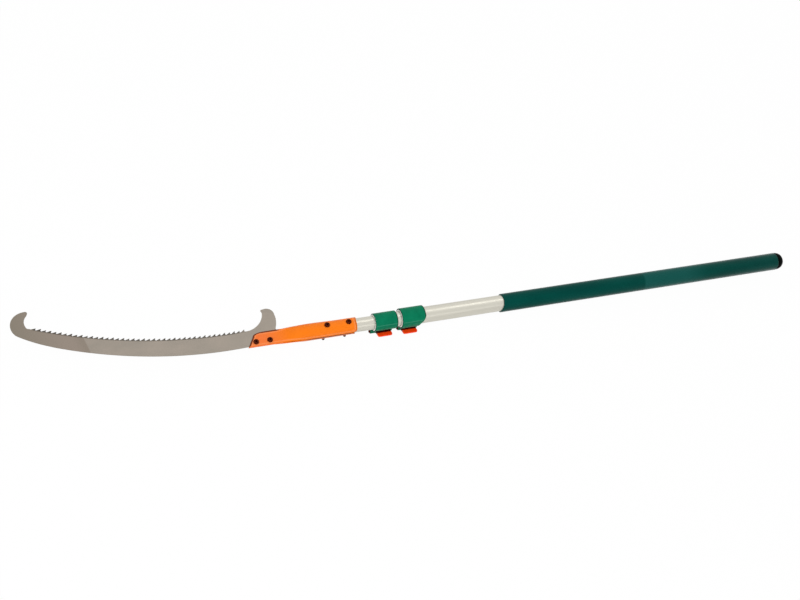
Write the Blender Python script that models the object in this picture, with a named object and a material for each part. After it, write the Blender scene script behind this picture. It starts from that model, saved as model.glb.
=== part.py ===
"""Telescopic pole saw, collapsed to its shortest length.

A curved pruning blade with a hook at each end is bolted between two pressed
steel shells, which grip the thinnest of three nested aluminium tubes. A lever
clamp on the front end of each carrying tube locks the tube that slides in it.

Frame: X runs along the pole and is 0 at the butt, the blade is at -X and lies
flat in the XY plane, its teeth face +Y, and the bolt heads face +Z.
All sizes are in metres.
"""

import math

import bmesh
import bpy
from mathutils import Matrix, Vector

# Lengths along the pole, from the butt to the blade
CAP_LENGTH = 0.0165
GRIP_LENGTH = 0.6185
OUTER_TUBE_SHOWING = 0.1605
REAR_CLAMP_LENGTH = 0.0465
CLAMP_SPACING = 0.008
FRONT_CLAMP_LENGTH = 0.044
INNER_TUBE_SHOWING = 0.0354
HOLDER_LENGTH = 0.2012

# Tubes, from the outside in
OUTER_TUBE_RADIUS = 0.0150
TUBE_WALL = 0.0009
TUBE_CLEARANCE = 0.0003
KEY_DEPTH = 0.0008
KEY_HALF_WIDTH = 0.0022
MIDDLE_TUBE_REAR = 0.060
INNER_TUBE_REAR = 0.100
TUBE_IN_HOLDER = 0.093
TUBE_SIDES = 36

# Grip and butt cap
GRIP_RADIUS = 0.0172
GRIP_RIM_CHAMFER = 0.0008
GRIP_FRONT_TONGUE = 0.0045
GRIP_TONGUE_TURN = math.radians(213.5)
CAP_RADIUS = 0.0168
CAP_FLAT_RADIUS = 0.0060
CAP_RIM = 0.0017
CAP_DOME_STEPS = 8
CAP_SPIGOT_LENGTH = 0.030
CAP_BARB = 0.0006
CAP_BARB_COUNT = 4

# Plugs inside the tubes
PLUG_FLANGE = 0.004
PLUG_SPIGOT_LENGTH = 0.022
CORE_SETBACK = 0.002

# Lever clamps
FRONT_CLAMP_WALL = 0.00235
REAR_CLAMP_WALL = 0.00325
CLAMP_EDGE = 0.0009
CLAMP_TURN = math.radians(-10.0)
REAR_CLAMP_RELIEF = 0.0120
RELIEF_TURN = math.radians(-46.0)
BUSHING_LENGTH = 0.0030
BUSHING_WALL = 0.0021
FRONT_LEVER_SETBACK = 0.0075
REAR_LEVER_SETBACK = 0.0056
LEVER_WIDTH = 0.0275
LEVER_REACH = 0.0187
LEVER_RISE = 0.0022
LEVER_THICKNESS = 0.0026
LEVER_CORNER = 0.0030
LEVER_NECK = 0.0080
CAM_RADIUS = 0.0046
CAM_OFFSET = 0.0006
CAM_START = -110.0
CAM_END = 150.0
FRONT_SHOE_THICKNESS = 0.0031
REAR_SHOE_THICKNESS = 0.0045
SHOE_HALF_WIDTH = 0.0052
PIN_RADIUS = 0.0020
PIN_HEAD_RADIUS = 0.0031
PIN_HEAD_TOP_RADIUS = 0.0019
PIN_HEAD_THICKNESS = 0.0022
PIN_BLIND = 0.0015
BOSS_WALL = 0.0021
BOSS_FOOT_FLARE = 1.25
FRONT_BOSS_SETBACK = -0.0025
REAR_BOSS_SETBACK = 0.0005
BOSS_BEHIND_LEVER = 0.0040
FIXING_SCREW_RADIUS = 0.0015
FIXING_SCREW_HEAD_RADIUS = 0.0029
FIXING_SCREW_HEAD_THICKNESS = 0.0016
FIXING_SCREW_HEAD_EDGE = 0.0007
FIXING_SCREW_SETBACK = 0.0060
FIXING_SCREW_TURN = math.radians(223.0)

# Holder shells
HOLDER_WALL = 0.0018
HOLDER_SLANT_FOOT = 0.0122
NEAR_LOWER_WIDTH = 0.0148
FAR_LOWER_WIDTH = 0.0100
HOLDER_FLAT_LENGTH = 0.060
HOLDER_SWELL_LENGTH = 0.049
HOLDER_TAPER_LENGTH = 0.105
HOLDER_SLANT = 0.627
HOLDER_SLANT_TOP = 0.0067
HOLDER_CORNER_LENGTH = 0.0226
NEAR_REAR_CORNER = 0.0065
FAR_REAR_CORNER = 0.0150
HOLDER_SHOULDER = 0.0014
SHOULDER_START = 0.040
SHOULDER_RISE = 0.022
SHOULDER_FALL_START = 0.105
SHOULDER_FALL = 0.065
SPOTFACE_DEPTH = 0.0007
SHELL_ROWS = 22
SHELL_COLUMNS = 16

# Blade, measured from the front of the holder on the pole's axis
BLADE_THICKNESS = 0.0016
SPINE_RADIUS = 0.7229
SPINE_LOW_X = -0.0367
SPINE_LOW_Y = -0.0121
TOOTH_LINE_RADIUS = 0.7894
TOOTH_LINE_LOW_X = -0.0302
TOOTH_LINE_LOW_Y = 0.0256
TOOTH_COUNT = 42
TOOTH_DEPTH = 0.0056
TOOTH_BEVEL = 0.0020
FIRST_TOOTH_X = -0.3474
LAST_TOOTH_X = 0.0016
SPINE_END_X = -0.3240
SPINE_STEPS = 22
TANG_REAR_X = 0.0590
TANG_TOP_Y = 0.0110

# Arcs of the two hooks, each by its first, a middle and its last point
TIP_BACK = ((-0.3300, 0.0505), (-0.3570, 0.0648), (-0.3790, 0.0798))
TIP_CROWN = ((-0.3822, 0.0825), (-0.3888, 0.1010), (-0.3630, 0.1287))
TIP_POINT = ((-0.3592, 0.1290), (-0.3572, 0.1277), (-0.3567, 0.1240))
TIP_THROAT = ((-0.3590, 0.1200), (-0.3652, 0.1050), (-0.3634, 0.0955))
TIP_THROAT_FOOT = ((-0.3620, 0.0934), (-0.3590, 0.0924))
ROOT_THROAT = ((0.0105, 0.0222), (0.0300, 0.0330), (0.0424, 0.0565))
ROOT_POINT = ((0.0412, 0.0606), (0.0430, 0.0628))
ROOT_CROWN = ((0.0480, 0.0636), (0.0585, 0.0610), (0.0634, 0.0500))
ROOT_BACK = ((0.0638, 0.0430), (0.0622, 0.0320), (0.0574, 0.0190))

# One tooth from root to root, as shares of the pitch and of the depth
TOOTH_FORM = ((-0.88, 0.00), (-0.50, 0.45), (-0.16, 0.90), (0.00, 1.00), (-0.10, 0.25))
TOOTH_ROW_END = -0.9

# Screws and nuts
SCREW_RADIUS = 0.0025
HEAD_RADIUS = 0.0050
HEAD_THICKNESS = 0.0030
HEAD_EDGE = 0.0011
SOCKET_RADIUS = 0.0016
SOCKET_DEPTH = 0.0016
NUT_RADIUS = 0.0046
NUT_THICKNESS = 0.0048
THIN_NUT_THICKNESS = 0.0027
WASHER_RADIUS = 0.0052
WASHER_THICKNESS = 0.0010
POLE_SCREW_LENGTH = 0.0432
BLADE_SCREW_TAIL = 0.0006
POLE_SCREW_SETBACKS = (0.0551, 0.0141)
BLADE_SCREW_PLACES = ((0.0144, -0.0055), (0.0399, -0.0055))

# Gap kept between pieces that touch, and running clearance of pins
SEAT = 0.0003

# How far a cutting shape reaches past the face that it cuts through
OVERSHOOT = 0.001

# How finely the round pieces are cut
SHARP_ANGLE = math.radians(32.0)
ROUND_SIDES = 40
SMALL_SIDES = 16
SCREW_SIDES = 24
NUT_SIDES = 24

# Sizes that follow from the ones above
MIDDLE_TUBE_RADIUS = OUTER_TUBE_RADIUS - TUBE_WALL - TUBE_CLEARANCE
INNER_TUBE_RADIUS = MIDDLE_TUBE_RADIUS - TUBE_WALL - TUBE_CLEARANCE
GRIP_REAR = -CAP_LENGTH
GRIP_FRONT = GRIP_REAR - GRIP_LENGTH
REAR_CLAMP_REAR = GRIP_FRONT - OUTER_TUBE_SHOWING
REAR_CLAMP_FRONT = REAR_CLAMP_REAR - REAR_CLAMP_LENGTH
FRONT_CLAMP_REAR = REAR_CLAMP_FRONT - CLAMP_SPACING
FRONT_CLAMP_FRONT = FRONT_CLAMP_REAR - FRONT_CLAMP_LENGTH
HOLDER_REAR = FRONT_CLAMP_FRONT - INNER_TUBE_SHOWING
HOLDER_FRONT = HOLDER_REAR - HOLDER_LENGTH
INNER_TUBE_FRONT = HOLDER_REAR - TUBE_IN_HOLDER
HOLDER_BORE = INNER_TUBE_RADIUS + SEAT
HOLDER_RADIUS = HOLDER_BORE + HOLDER_WALL
BLADE_FACE = BLADE_THICKNESS / 2
HEAD_SEAT = HOLDER_RADIUS - SPOTFACE_DEPTH + SEAT
CHEEK_FACE = BLADE_FACE + SEAT + HOLDER_WALL
BLADE_SCREW_LENGTH = 2 * (CHEEK_FACE + SEAT) + THIN_NUT_THICKNESS + BLADE_SCREW_TAIL


def clear_scene():
    """Start from an empty scene."""
    for old in list(bpy.data.objects):
        bpy.data.objects.remove(old, do_unlink=True)


def make_material(name, colour, roughness, metallic):
    """A plain Principled material."""
    material = bpy.data.materials.new(name)
    material.use_nodes = True
    shader = material.node_tree.nodes["Principled BSDF"]
    shader.inputs["Base Color"].default_value = (*colour, 1.0)
    shader.inputs["Roughness"].default_value = roughness
    shader.inputs["Metallic"].default_value = metallic
    material.diffuse_color = (*colour, 1.0)
    return material


def make_empty(name, location, turn=0.0):
    """An empty that carries the pieces of one group, turned about the pole."""
    empty = bpy.data.objects.new(name, None)
    empty.location = location
    empty.rotation_euler = (turn, 0.0, 0.0)
    bpy.context.scene.collection.objects.link(empty)
    return empty


def make_object(name, bm, material=None, parent=None, location=(0.0, 0.0, 0.0), smooth=True):
    """Turn a bmesh into a named object with outward faces."""
    bmesh.ops.remove_doubles(bm, verts=bm.verts, dist=1e-6)
    bmesh.ops.recalc_face_normals(bm, faces=bm.faces)
    mesh = bpy.data.meshes.new(name)
    bm.to_mesh(mesh)
    bm.free()
    if smooth:
        mesh.shade_smooth()
        mesh.set_sharp_from_angle(angle=SHARP_ANGLE)
    piece = bpy.data.objects.new(name, mesh)
    piece.location = location
    piece.parent = parent
    if material is not None:
        mesh.materials.append(material)
    bpy.context.scene.collection.objects.link(piece)
    return piece


def make_cutter(name, bm, parent=None, location=(0.0, 0.0, 0.0)):
    """A shape that only cuts or joins others, and isn't a piece itself."""
    cutter = make_object(name, bm, None, parent, location)
    cutter.hide_render = True
    cutter.display_type = "WIRE"
    return cutter


def combine(piece, operation, *tools):
    """Add a Boolean modifier for each tool."""
    for tool in tools:
        boolean = piece.modifiers.new(tool.name, "BOOLEAN")
        boolean.operation = operation
        boolean.solver = "EXACT"
        boolean.object = tool


def add_outline(bm, points):
    """Add the vertices of a closed outline and return them."""
    return [bm.verts.new(point) for point in points]


def bridge(bm, first, second):
    """Wall between two outlines with as many points."""
    count = len(first)
    for index in range(count):
        after = (index + 1) % count
        bm.faces.new((first[index], first[after], second[after], second[index]))


def keyed_outline(x, radius):
    """Round outline with a key groove at +Y, in which the nested tubes can't turn."""
    points = []
    for step in (-1.0, -0.5, 0.0, 0.5, 1.0):
        depth = KEY_DEPTH * (1.0 + math.cos(math.pi * step)) / 2
        angle = step * KEY_HALF_WIDTH / radius
        reach = radius - depth
        points.append((x, reach * math.cos(angle), reach * math.sin(angle)))
    edge = KEY_HALF_WIDTH / radius
    for side in range(1, TUBE_SIDES):
        angle = edge + (2 * math.pi - 2 * edge) * side / TUBE_SIDES
        points.append((x, radius * math.cos(angle), radius * math.sin(angle)))
    return points


def keyed_solid(stations):
    """Solid along X through (x, radius) stations, with the key groove."""
    bm = bmesh.new()
    rings = [add_outline(bm, keyed_outline(x, radius)) for x, radius in stations]
    for ring, following in zip(rings, rings[1:]):
        bridge(bm, ring, following)
    bm.faces.new(rings[0])
    bm.faces.new(rings[-1])
    return bm


def keyed_tube(rear, front, radius):
    """Open tube with the key groove pressed through its wall."""
    bm = bmesh.new()
    outside = [add_outline(bm, keyed_outline(x, radius)) for x in (rear, front)]
    inside = [add_outline(bm, keyed_outline(x, radius - TUBE_WALL)) for x in (rear, front)]
    bridge(bm, outside[0], outside[1])
    bridge(bm, inside[0], inside[1])
    bridge(bm, outside[0], inside[0])
    bridge(bm, outside[1], inside[1])
    return bm


def turned(profile, sides, axis="X", closed=False):
    """Spin a profile of (along, radius) points about an axis."""
    bm = bmesh.new()
    verts = []
    for along, radius in profile:
        place = (along, radius, 0.0) if axis == "X" else (radius, 0.0, along)
        verts.append(bm.verts.new(place))
    edges = [bm.edges.new(pair) for pair in zip(verts, verts[1:])]
    if closed:
        edges.append(bm.edges.new((verts[-1], verts[0])))
    turn_axis = (1.0, 0.0, 0.0) if axis == "X" else (0.0, 0.0, 1.0)
    bmesh.ops.spin(bm, geom=verts + edges, cent=(0.0, 0.0, 0.0), axis=turn_axis,
                   angle=2 * math.pi, steps=sides, use_merge=True)
    bmesh.ops.remove_doubles(bm, verts=bm.verts, dist=1e-6)
    return bm


def extruded(outline, length, direction):
    """Extrude a flat closed outline."""
    bm = bmesh.new()
    face = bm.faces.new(add_outline(bm, outline))
    grown = bmesh.ops.extrude_face_region(bm, geom=[face])
    moved = [item for item in grown["geom"] if isinstance(item, bmesh.types.BMVert)]
    bmesh.ops.translate(bm, verts=moved, vec=Vector(direction) * length)
    return bm


def rod(bm, centre, radius, bottom, top, sides):
    """Add an upright round rod, about Z, to a bmesh."""
    place = Matrix.Translation((centre[0], centre[1], (bottom + top) / 2))
    bmesh.ops.create_cone(bm, cap_ends=True, segments=sides, radius1=radius,
                          radius2=radius, depth=top - bottom, matrix=place)


def arc(centre, radius, start, end, steps):
    """Points of an arc, its angles in degrees from +Y of the outline's plane."""
    points = []
    for step in range(steps + 1):
        angle = math.radians(start + (end - start) * step / steps)
        points.append((centre[0] + radius * math.cos(angle),
                       centre[1] + radius * math.sin(angle)))
    return points


def arc_through(first, middle, last, steps):
    """Points of the arc from first to last by way of middle."""
    ax, ay = first
    bx, by = middle
    cx, cy = last
    doubled = 2 * (ax * (by - cy) + bx * (cy - ay) + cx * (ay - by))
    a_square = ax * ax + ay * ay
    b_square = bx * bx + by * by
    c_square = cx * cx + cy * cy
    centre_x = (a_square * (by - cy) + b_square * (cy - ay) + c_square * (ay - by)) / doubled
    centre_y = (a_square * (cx - bx) + b_square * (ax - cx) + c_square * (bx - ax)) / doubled
    radius = math.hypot(ax - centre_x, ay - centre_y)
    start = math.atan2(ay - centre_y, ax - centre_x)
    sweep = math.atan2(cy - centre_y, cx - centre_x) - start
    by_way = math.atan2(by - centre_y, bx - centre_x) - start
    if by_way % (2 * math.pi) < sweep % (2 * math.pi):
        sweep %= 2 * math.pi
    else:
        sweep = sweep % (2 * math.pi) - 2 * math.pi
    return arc((centre_x, centre_y), radius, math.degrees(start),
               math.degrees(start + sweep), steps)


def smooth_step(value):
    """Ease from 0 to 1."""
    value = min(max(value, 0.0), 1.0)
    return value * value * (3.0 - 2.0 * value)


# Blade

def spine_point(x):
    """A point of the blade's back, which is one long arc."""
    run = x - SPINE_LOW_X
    return (x, SPINE_LOW_Y + SPINE_RADIUS - math.sqrt(SPINE_RADIUS ** 2 - run * run))


def tooth_line_angle(x):
    """Angle along the tooth line's arc, 0 at its lowest point."""
    return math.asin((x - TOOTH_LINE_LOW_X) / TOOTH_LINE_RADIUS)


def tooth_line_point(angle, level):
    """A point on the tooth line or, with a level below 0, inside it."""
    reach = TOOTH_LINE_RADIUS - level
    x = TOOTH_LINE_LOW_X + reach * math.sin(angle)
    y = TOOTH_LINE_LOW_Y + TOOTH_LINE_RADIUS - reach * math.cos(angle)
    return (x, y)


def tooth_points(near):
    """The row of teeth from the tip hook to the holder, raked towards the hand."""
    first = tooth_line_angle(FIRST_TOOTH_X)
    pitch = (tooth_line_angle(LAST_TOOTH_X) - first) / (TOOTH_COUNT - 1)
    points = []
    for index in range(TOOTH_COUNT):
        ground = (index % 2 == 0) == near
        for along, height in TOOTH_FORM:
            level = -TOOTH_DEPTH * (1.0 - height)
            if ground:
                level -= TOOTH_BEVEL * height
            points.append(tooth_line_point(first + pitch * (index + along), level))
    row_end = first + pitch * (TOOTH_COUNT + TOOTH_ROW_END)
    points.append(tooth_line_point(row_end, -TOOTH_DEPTH))
    return points


def blade_outline(near):
    """The blade's outline, from the tang along the back to the tip and home."""
    points = [(TANG_REAR_X, SPINE_LOW_Y)]
    for step in range(SPINE_STEPS + 1):
        points.append(spine_point(SPINE_END_X * step / SPINE_STEPS))
    points += arc_through(*TIP_BACK, 5)
    points += arc_through(*TIP_CROWN, 10)
    points += arc_through(*TIP_POINT, 3)
    points += arc_through(*TIP_THROAT, 8)
    points += TIP_THROAT_FOOT
    points += tooth_points(near)
    points += arc_through(*ROOT_THROAT, 9)
    points += ROOT_POINT
    points += arc_through(*ROOT_CROWN, 7)
    points += arc_through(*ROOT_BACK, 5)
    points += [(TANG_REAR_X, TANG_TOP_Y)]
    return points


def build_blade(material, cutter):
    """Stamped blade: the ground teeth slope between two unlike outlines."""
    bm = bmesh.new()
    near = add_outline(bm, [(x, y, BLADE_FACE) for x, y in blade_outline(True)])
    far = add_outline(bm, [(x, y, -BLADE_FACE) for x, y in blade_outline(False)])
    bridge(bm, near, far)
    bm.faces.new(near)
    bm.faces.new(far)
    blade = make_object("saw_blade", bm, material, None, (HOLDER_FRONT, 0.0, 0.0), smooth=False)
    combine(blade, "DIFFERENCE", cutter)


# Holder

def holder_front_edge(y):
    """Setback of the cheek's front edge: a slant, then a long rounded corner."""
    along = HOLDER_SLANT * (min(y, HOLDER_SLANT_TOP) + HOLDER_SLANT_FOOT)
    if y > HOLDER_SLANT_TOP:
        share = min((y - HOLDER_SLANT_TOP) / (HOLDER_RADIUS - HOLDER_SLANT_TOP), 1.0)
        along += HOLDER_CORNER_LENGTH * (1.0 - math.sqrt(1.0 - share * share))
    return along


def holder_rear_edge(across, corner):
    """Setback of the rear edge: rounded corners beside the split."""
    run = HOLDER_BORE * (math.pi / 2 - abs(across))
    if run >= corner:
        return 0.0
    rest = corner - run
    return corner - math.sqrt(corner ** 2 - rest ** 2)


def shoulder_share(along):
    """How far the shoulder on the teeth's side has risen, from 0 to 1."""
    risen = smooth_step((along - SHOULDER_START) / SHOULDER_RISE)
    return risen - smooth_step((along - SHOULDER_FALL_START) / SHOULDER_FALL)


def holder_point(share, across, thickness, lower_width, corner):
    """A point of a shell: share runs front to rear, across from edge to edge."""
    sine = math.sin(across)
    cosine = math.cos(across)
    along = share * HOLDER_LENGTH
    widening = smooth_step(along / HOLDER_TAPER_LENGTH)
    lower = lower_width + (HOLDER_RADIUS - lower_width) * widening
    upper = HOLDER_RADIUS + HOLDER_SHOULDER * shoulder_share(along)
    half_width = upper if sine > 0.0 else lower
    front = holder_front_edge(sine * half_width)
    rear = HOLDER_LENGTH - holder_rear_edge(across, corner)
    x = front + (rear - front) * share
    swell = smooth_step((x - HOLDER_FLAT_LENGTH) / HOLDER_SWELL_LENGTH)
    edge_turn = swell * math.pi / 2
    y = sine * (half_width - HOLDER_WALL * math.sin(edge_turn))
    flat_z = BLADE_FACE + SEAT
    z = flat_z + (SEAT / 2 + (HOLDER_BORE - SEAT / 2) * cosine - flat_z) * swell
    turn = swell * across
    return x, y + thickness * math.sin(turn), z + thickness * math.cos(turn)


def build_shell(name, side, lower_width, corner, material, cutters):
    """One pressed half of the holder: a flat cheek that swells to a half socket."""
    bm = bmesh.new()
    layers = []
    for thickness in (0.0, HOLDER_WALL):
        grid = []
        for row in range(SHELL_ROWS + 1):
            line = []
            for column in range(SHELL_COLUMNS + 1):
                across = math.pi * (column / SHELL_COLUMNS - 0.5)
                x, y, z = holder_point(row / SHELL_ROWS, across, thickness,
                                       lower_width, corner)
                line.append(bm.verts.new((x, y, z * side)))
            grid.append(line)
        for line, following in zip(grid, grid[1:]):
            for column in range(SHELL_COLUMNS):
                bm.faces.new((line[column], line[column + 1],
                              following[column + 1], following[column]))
        front_row = grid[0][:-1]
        far_side = [line[-1] for line in grid[:-1]]
        rear_row = grid[-1][:0:-1]
        near_side = [line[0] for line in grid[:0:-1]]
        layers.append(front_row + far_side + rear_row + near_side)
    bridge(bm, layers[0], layers[1])
    shell = make_object(name, bm, material, None, (HOLDER_FRONT, 0.0, 0.0))
    combine(shell, "DIFFERENCE", *cutters)


def screw_holes():
    """Clearance holes for the screws of the blade and of the pole."""
    bm = bmesh.new()
    reach = HOLDER_RADIUS + HEAD_RADIUS
    for x, y in screw_places():
        rod(bm, (x, y), SCREW_RADIUS + SEAT, -reach, reach, SMALL_SIDES)
    return make_cutter("screw_holes", bm)


def screw_places():
    """Where all four screws cross the blade's plane."""
    return blade_screw_places() + pole_screw_places()


def blade_screw_places():
    """The two screws through both cheeks and the tang."""
    return [(HOLDER_FRONT + x, y) for x, y in BLADE_SCREW_PLACES]


def pole_screw_places():
    """The two screws through both half sockets and the inner tube."""
    return [(HOLDER_REAR - setback, 0.0) for setback in POLE_SCREW_SETBACKS]


def spotfaces():
    """Flats pressed into the half sockets under the heads and washers."""
    bm = bmesh.new()
    floor = HOLDER_RADIUS - SPOTFACE_DEPTH
    for x, y in pole_screw_places():
        rod(bm, (x, y), WASHER_RADIUS + SEAT, floor, floor + HEAD_THICKNESS, 2 * SMALL_SIDES)
        rod(bm, (x, y), WASHER_RADIUS + SEAT, -floor - HEAD_THICKNESS, -floor, 2 * SMALL_SIDES)
    return make_cutter("spotfaces", bm)


def build_screw(name, places, seat, length, material):
    """Pan head screws with a hexagon socket, their heads resting on seat."""
    top = HEAD_THICKNESS
    rounding = arc((top - HEAD_EDGE, HEAD_RADIUS - HEAD_EDGE), HEAD_EDGE, 90.0, 0.0, 2)
    profile = [(-length, 0.0), (-length, SCREW_RADIUS), (0.0, SCREW_RADIUS),
               (0.0, HEAD_RADIUS), *rounding, (top, SOCKET_RADIUS),
               (top - SOCKET_DEPTH, SOCKET_RADIUS), (top - SOCKET_DEPTH, 0.0)]
    repeat(name, places, seat, turned(profile, SCREW_SIDES, axis="Z"), material)


def build_ring(name, places, top, thickness, radius, hexagonal, material):
    """Hexagon nuts or round washers with their hole, hanging from a height."""
    bm = bmesh.new()
    rings = []
    for height in (0.0, -thickness):
        outer = []
        inner = []
        for side in range(NUT_SIDES):
            angle = 2 * math.pi * side / NUT_SIDES
            reach = radius
            if hexagonal:
                off_flat = angle % (math.pi / 3) - math.pi / 6
                reach *= math.cos(math.pi / 6) / math.cos(off_flat)
            hole = SCREW_RADIUS + SEAT
            outer.append((reach * math.cos(angle), reach * math.sin(angle), height))
            inner.append((hole * math.cos(angle), hole * math.sin(angle), height))
        rings.append((add_outline(bm, outer), add_outline(bm, inner)))
    (upper_outer, upper_inner), (lower_outer, lower_inner) = rings
    bridge(bm, upper_outer, lower_outer)
    bridge(bm, upper_inner, lower_inner)
    bridge(bm, upper_outer, upper_inner)
    bridge(bm, lower_outer, lower_inner)
    repeat(name, places, top, bm, material)


def repeat(name, places, height, bm, material):
    """One object for each place, all with the same mesh."""
    first = None
    for order, (x, y) in zip(("front", "rear"), places):
        location = (x, y, height)
        if first is None:
            first = make_object(order + name, bm, material, None, location)
            continue
        copy = bpy.data.objects.new(order + name, first.data)
        copy.location = location
        bpy.context.scene.collection.objects.link(copy)


def build_fasteners(dark_steel, zinc):
    """Screws, washers and nuts of the holder."""
    places = blade_screw_places()
    seat = CHEEK_FACE + SEAT
    build_screw("_blade_screw", places, seat, BLADE_SCREW_LENGTH, dark_steel)
    build_ring("_blade_nut", places, -seat, THIN_NUT_THICKNESS, NUT_RADIUS, True, zinc)

    places = pole_screw_places()
    seat = HEAD_SEAT
    build_screw("_pole_screw", places, seat, POLE_SCREW_LENGTH, dark_steel)
    build_ring("_pole_washer", places, -seat, WASHER_THICKNESS, WASHER_RADIUS, False, zinc)
    seat += WASHER_THICKNESS + SEAT
    build_ring("_pole_nut", places, -seat, NUT_THICKNESS, NUT_RADIUS, True, zinc)


# Lever clamps

def clamp_cutters(name, frame, sizes):
    """The shapes that hollow a clamp body, in the clamp's own frame."""
    step = BUSHING_LENGTH + SEAT
    counterbore = sizes["slide_bore"] + BUSHING_WALL + SEAT
    rear = sizes["length"] + OVERSHOOT
    front = min(sizes["boss_setback"], 0.0) - OVERSHOOT
    bore = turned([(front, 0.0), (front, counterbore), (step, counterbore),
                   (step, sizes["socket"]), (rear, sizes["socket"]), (rear, 0.0)],
                  ROUND_SIDES)
    bore_cutter = make_cutter(name + "_bore", bore, frame)

    half = SHOE_HALF_WIDTH + SEAT
    start = sizes["lever_setback"] - SEAT
    deep = -sizes["pin_drop"] - 3 * CAM_RADIUS
    shallow = -sizes["slide_radius"] / 2
    window = extruded([(start, -half, deep), (start, half, deep),
                       (start, half, shallow), (start, -half, shallow)],
                      LEVER_WIDTH + 2 * SEAT, (1.0, 0.0, 0.0))
    window_cutter = make_cutter(name + "_window", window, frame)

    blind = sizes["boss_setback"] + sizes["boss_length"] - PIN_BLIND
    hole = turned([(front, 0.0), (front, PIN_RADIUS + SEAT),
                   (blind, PIN_RADIUS + SEAT), (blind, 0.0)], SMALL_SIDES)
    hole_cutter = make_cutter(name + "_pin_hole", hole, frame, (0.0, 0.0, -sizes["pin_drop"]))

    outside = sizes["radius"] + OVERSHOOT
    screw_hole = turned([(0.0, 0.0), (0.0, FIXING_SCREW_RADIUS + SEAT),
                         (outside, FIXING_SCREW_RADIUS + SEAT), (outside, 0.0)],
                        SMALL_SIDES, axis="Z")
    screw_cutter = make_cutter(name + "_screw_hole", screw_hole, frame,
                               (sizes["length"] - FIXING_SCREW_SETBACK, 0.0, 0.0))
    screw_cutter.rotation_euler = (FIXING_SCREW_TURN, 0.0, 0.0)
    return hole_cutter, window_cutter, screw_cutter, bore_cutter


def clamp_boss(name, frame, sizes):
    """The long boss under the sleeve that holds both ends of the pin."""
    radius = PIN_RADIUS + SEAT + BOSS_WALL
    drop = -sizes["pin_drop"]
    front = sizes["boss_setback"]
    rounded = [(front, y, z) for y, z in arc((0.0, drop), radius, 180.0, 360.0, 12)]
    top = -sizes["slide_radius"]
    foot = radius * BOSS_FOOT_FLARE
    outline = rounded + [(front, foot, top), (front, -foot, top)]
    boss = extruded(outline, sizes["boss_length"], (1.0, 0.0, 0.0))
    return make_cutter(name + "_boss", boss, frame)


def build_clamp_body(name, frame, sizes, material, reliefs, cutters):
    """Moulded sleeve on the end of the carrying tube, with boss and window."""
    radius = sizes["radius"]
    length = sizes["length"]
    profile = [(0.0, 0.0), (0.0, radius - CLAMP_EDGE), (CLAMP_EDGE, radius),
               (length - CLAMP_EDGE, radius), (length, radius - CLAMP_EDGE), (length, 0.0)]
    body = make_object(name + "_body", turned(profile, ROUND_SIDES), material, frame)
    combine(body, "DIFFERENCE", *reliefs)
    combine(body, "UNION", clamp_boss(name, frame, sizes))
    combine(body, "DIFFERENCE", *cutters)


def clamp_relief(name, frame, sizes):
    """The slant that cuts a clamp's lower rear corner back."""
    length = sizes["length"]
    reach = sizes["radius"] + OVERSHOOT
    cut = sizes["relief"] * reach / sizes["radius"]
    past = length + OVERSHOOT
    outline = [(past, -reach, 0.0), (length, -reach, 0.0),
               (length - cut, -reach, -reach), (past, -reach, -reach)]
    wedge = extruded(outline, 2 * reach, (0.0, 1.0, 0.0))
    cutter = make_cutter(name + "_relief", wedge, frame)
    cutter.rotation_euler = (RELIEF_TURN, 0.0, 0.0)
    return cutter


def build_lever(name, frame, sizes, material):
    """Cam lever, modelled about its pin, lying closed towards -Y."""
    cam = arc((0.0, CAM_OFFSET), CAM_RADIUS, CAM_START, CAM_END, SMALL_SIDES)
    tip_y = -LEVER_REACH
    neck_rise = CAM_OFFSET + LEVER_RISE / 2
    outline = cam + [(-LEVER_NECK, neck_rise + LEVER_THICKNESS / 2),
                     (tip_y, LEVER_RISE + LEVER_THICKNESS / 2),
                     (tip_y, LEVER_RISE - LEVER_THICKNESS / 2),
                     (-LEVER_NECK, neck_rise - LEVER_THICKNESS)]
    start = sizes["lever_setback"]
    bm = extruded([(start, y, z) for y, z in outline], LEVER_WIDTH, (1.0, 0.0, 0.0))
    corners = []
    for edge in bm.edges:
        ends = [vert.co for vert in edge.verts]
        if all(abs(co.y - tip_y) < 1e-6 for co in ends) and abs(ends[0].x - ends[1].x) < 1e-6:
            corners.append(edge)
    bmesh.ops.bevel(bm, geom=corners, offset=LEVER_CORNER, segments=4, profile=0.5,
                    affect="EDGES", material=-1)
    lever = make_object(name + "_lever", bm, material, frame, (0.0, 0.0, -sizes["pin_drop"]))
    hole = turned([(0.0, 0.0), (0.0, PIN_RADIUS + SEAT), (sizes["length"], PIN_RADIUS + SEAT),
                   (sizes["length"], 0.0)], SMALL_SIDES)
    cutter = make_cutter(name + "_lever_hole", hole, frame, (0.0, 0.0, -sizes["pin_drop"]))
    combine(lever, "DIFFERENCE", cutter)


def build_shoe(name, frame, sizes, material):
    """Brake shoe between the cam and the sliding tube."""
    bore = sizes["slide_bore"]
    half_angle = math.degrees(math.asin(SHOE_HALF_WIDTH / bore))
    hollow = arc((0.0, 0.0), bore, 270.0 - half_angle, 270.0 + half_angle, 8)
    bottom = -bore - sizes["shoe_thickness"]
    outline = hollow + [(SHOE_HALF_WIDTH, bottom), (-SHOE_HALF_WIDTH, bottom)]
    start = sizes["lever_setback"]
    bm = extruded([(start, y, z) for y, z in outline], LEVER_WIDTH, (1.0, 0.0, 0.0))
    make_object(name + "_shoe", bm, material, frame)


def build_bushing(name, frame, sizes, material):
    """Plain bushing pressed into the clamp's mouth, in which the tube slides."""
    bore = sizes["slide_bore"]
    outer = bore + BUSHING_WALL
    profile = [(0.0, bore), (0.0, outer), (BUSHING_LENGTH, outer), (BUSHING_LENGTH, bore)]
    make_object(name + "_bushing", turned(profile, ROUND_SIDES, closed=True), material, frame)


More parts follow.
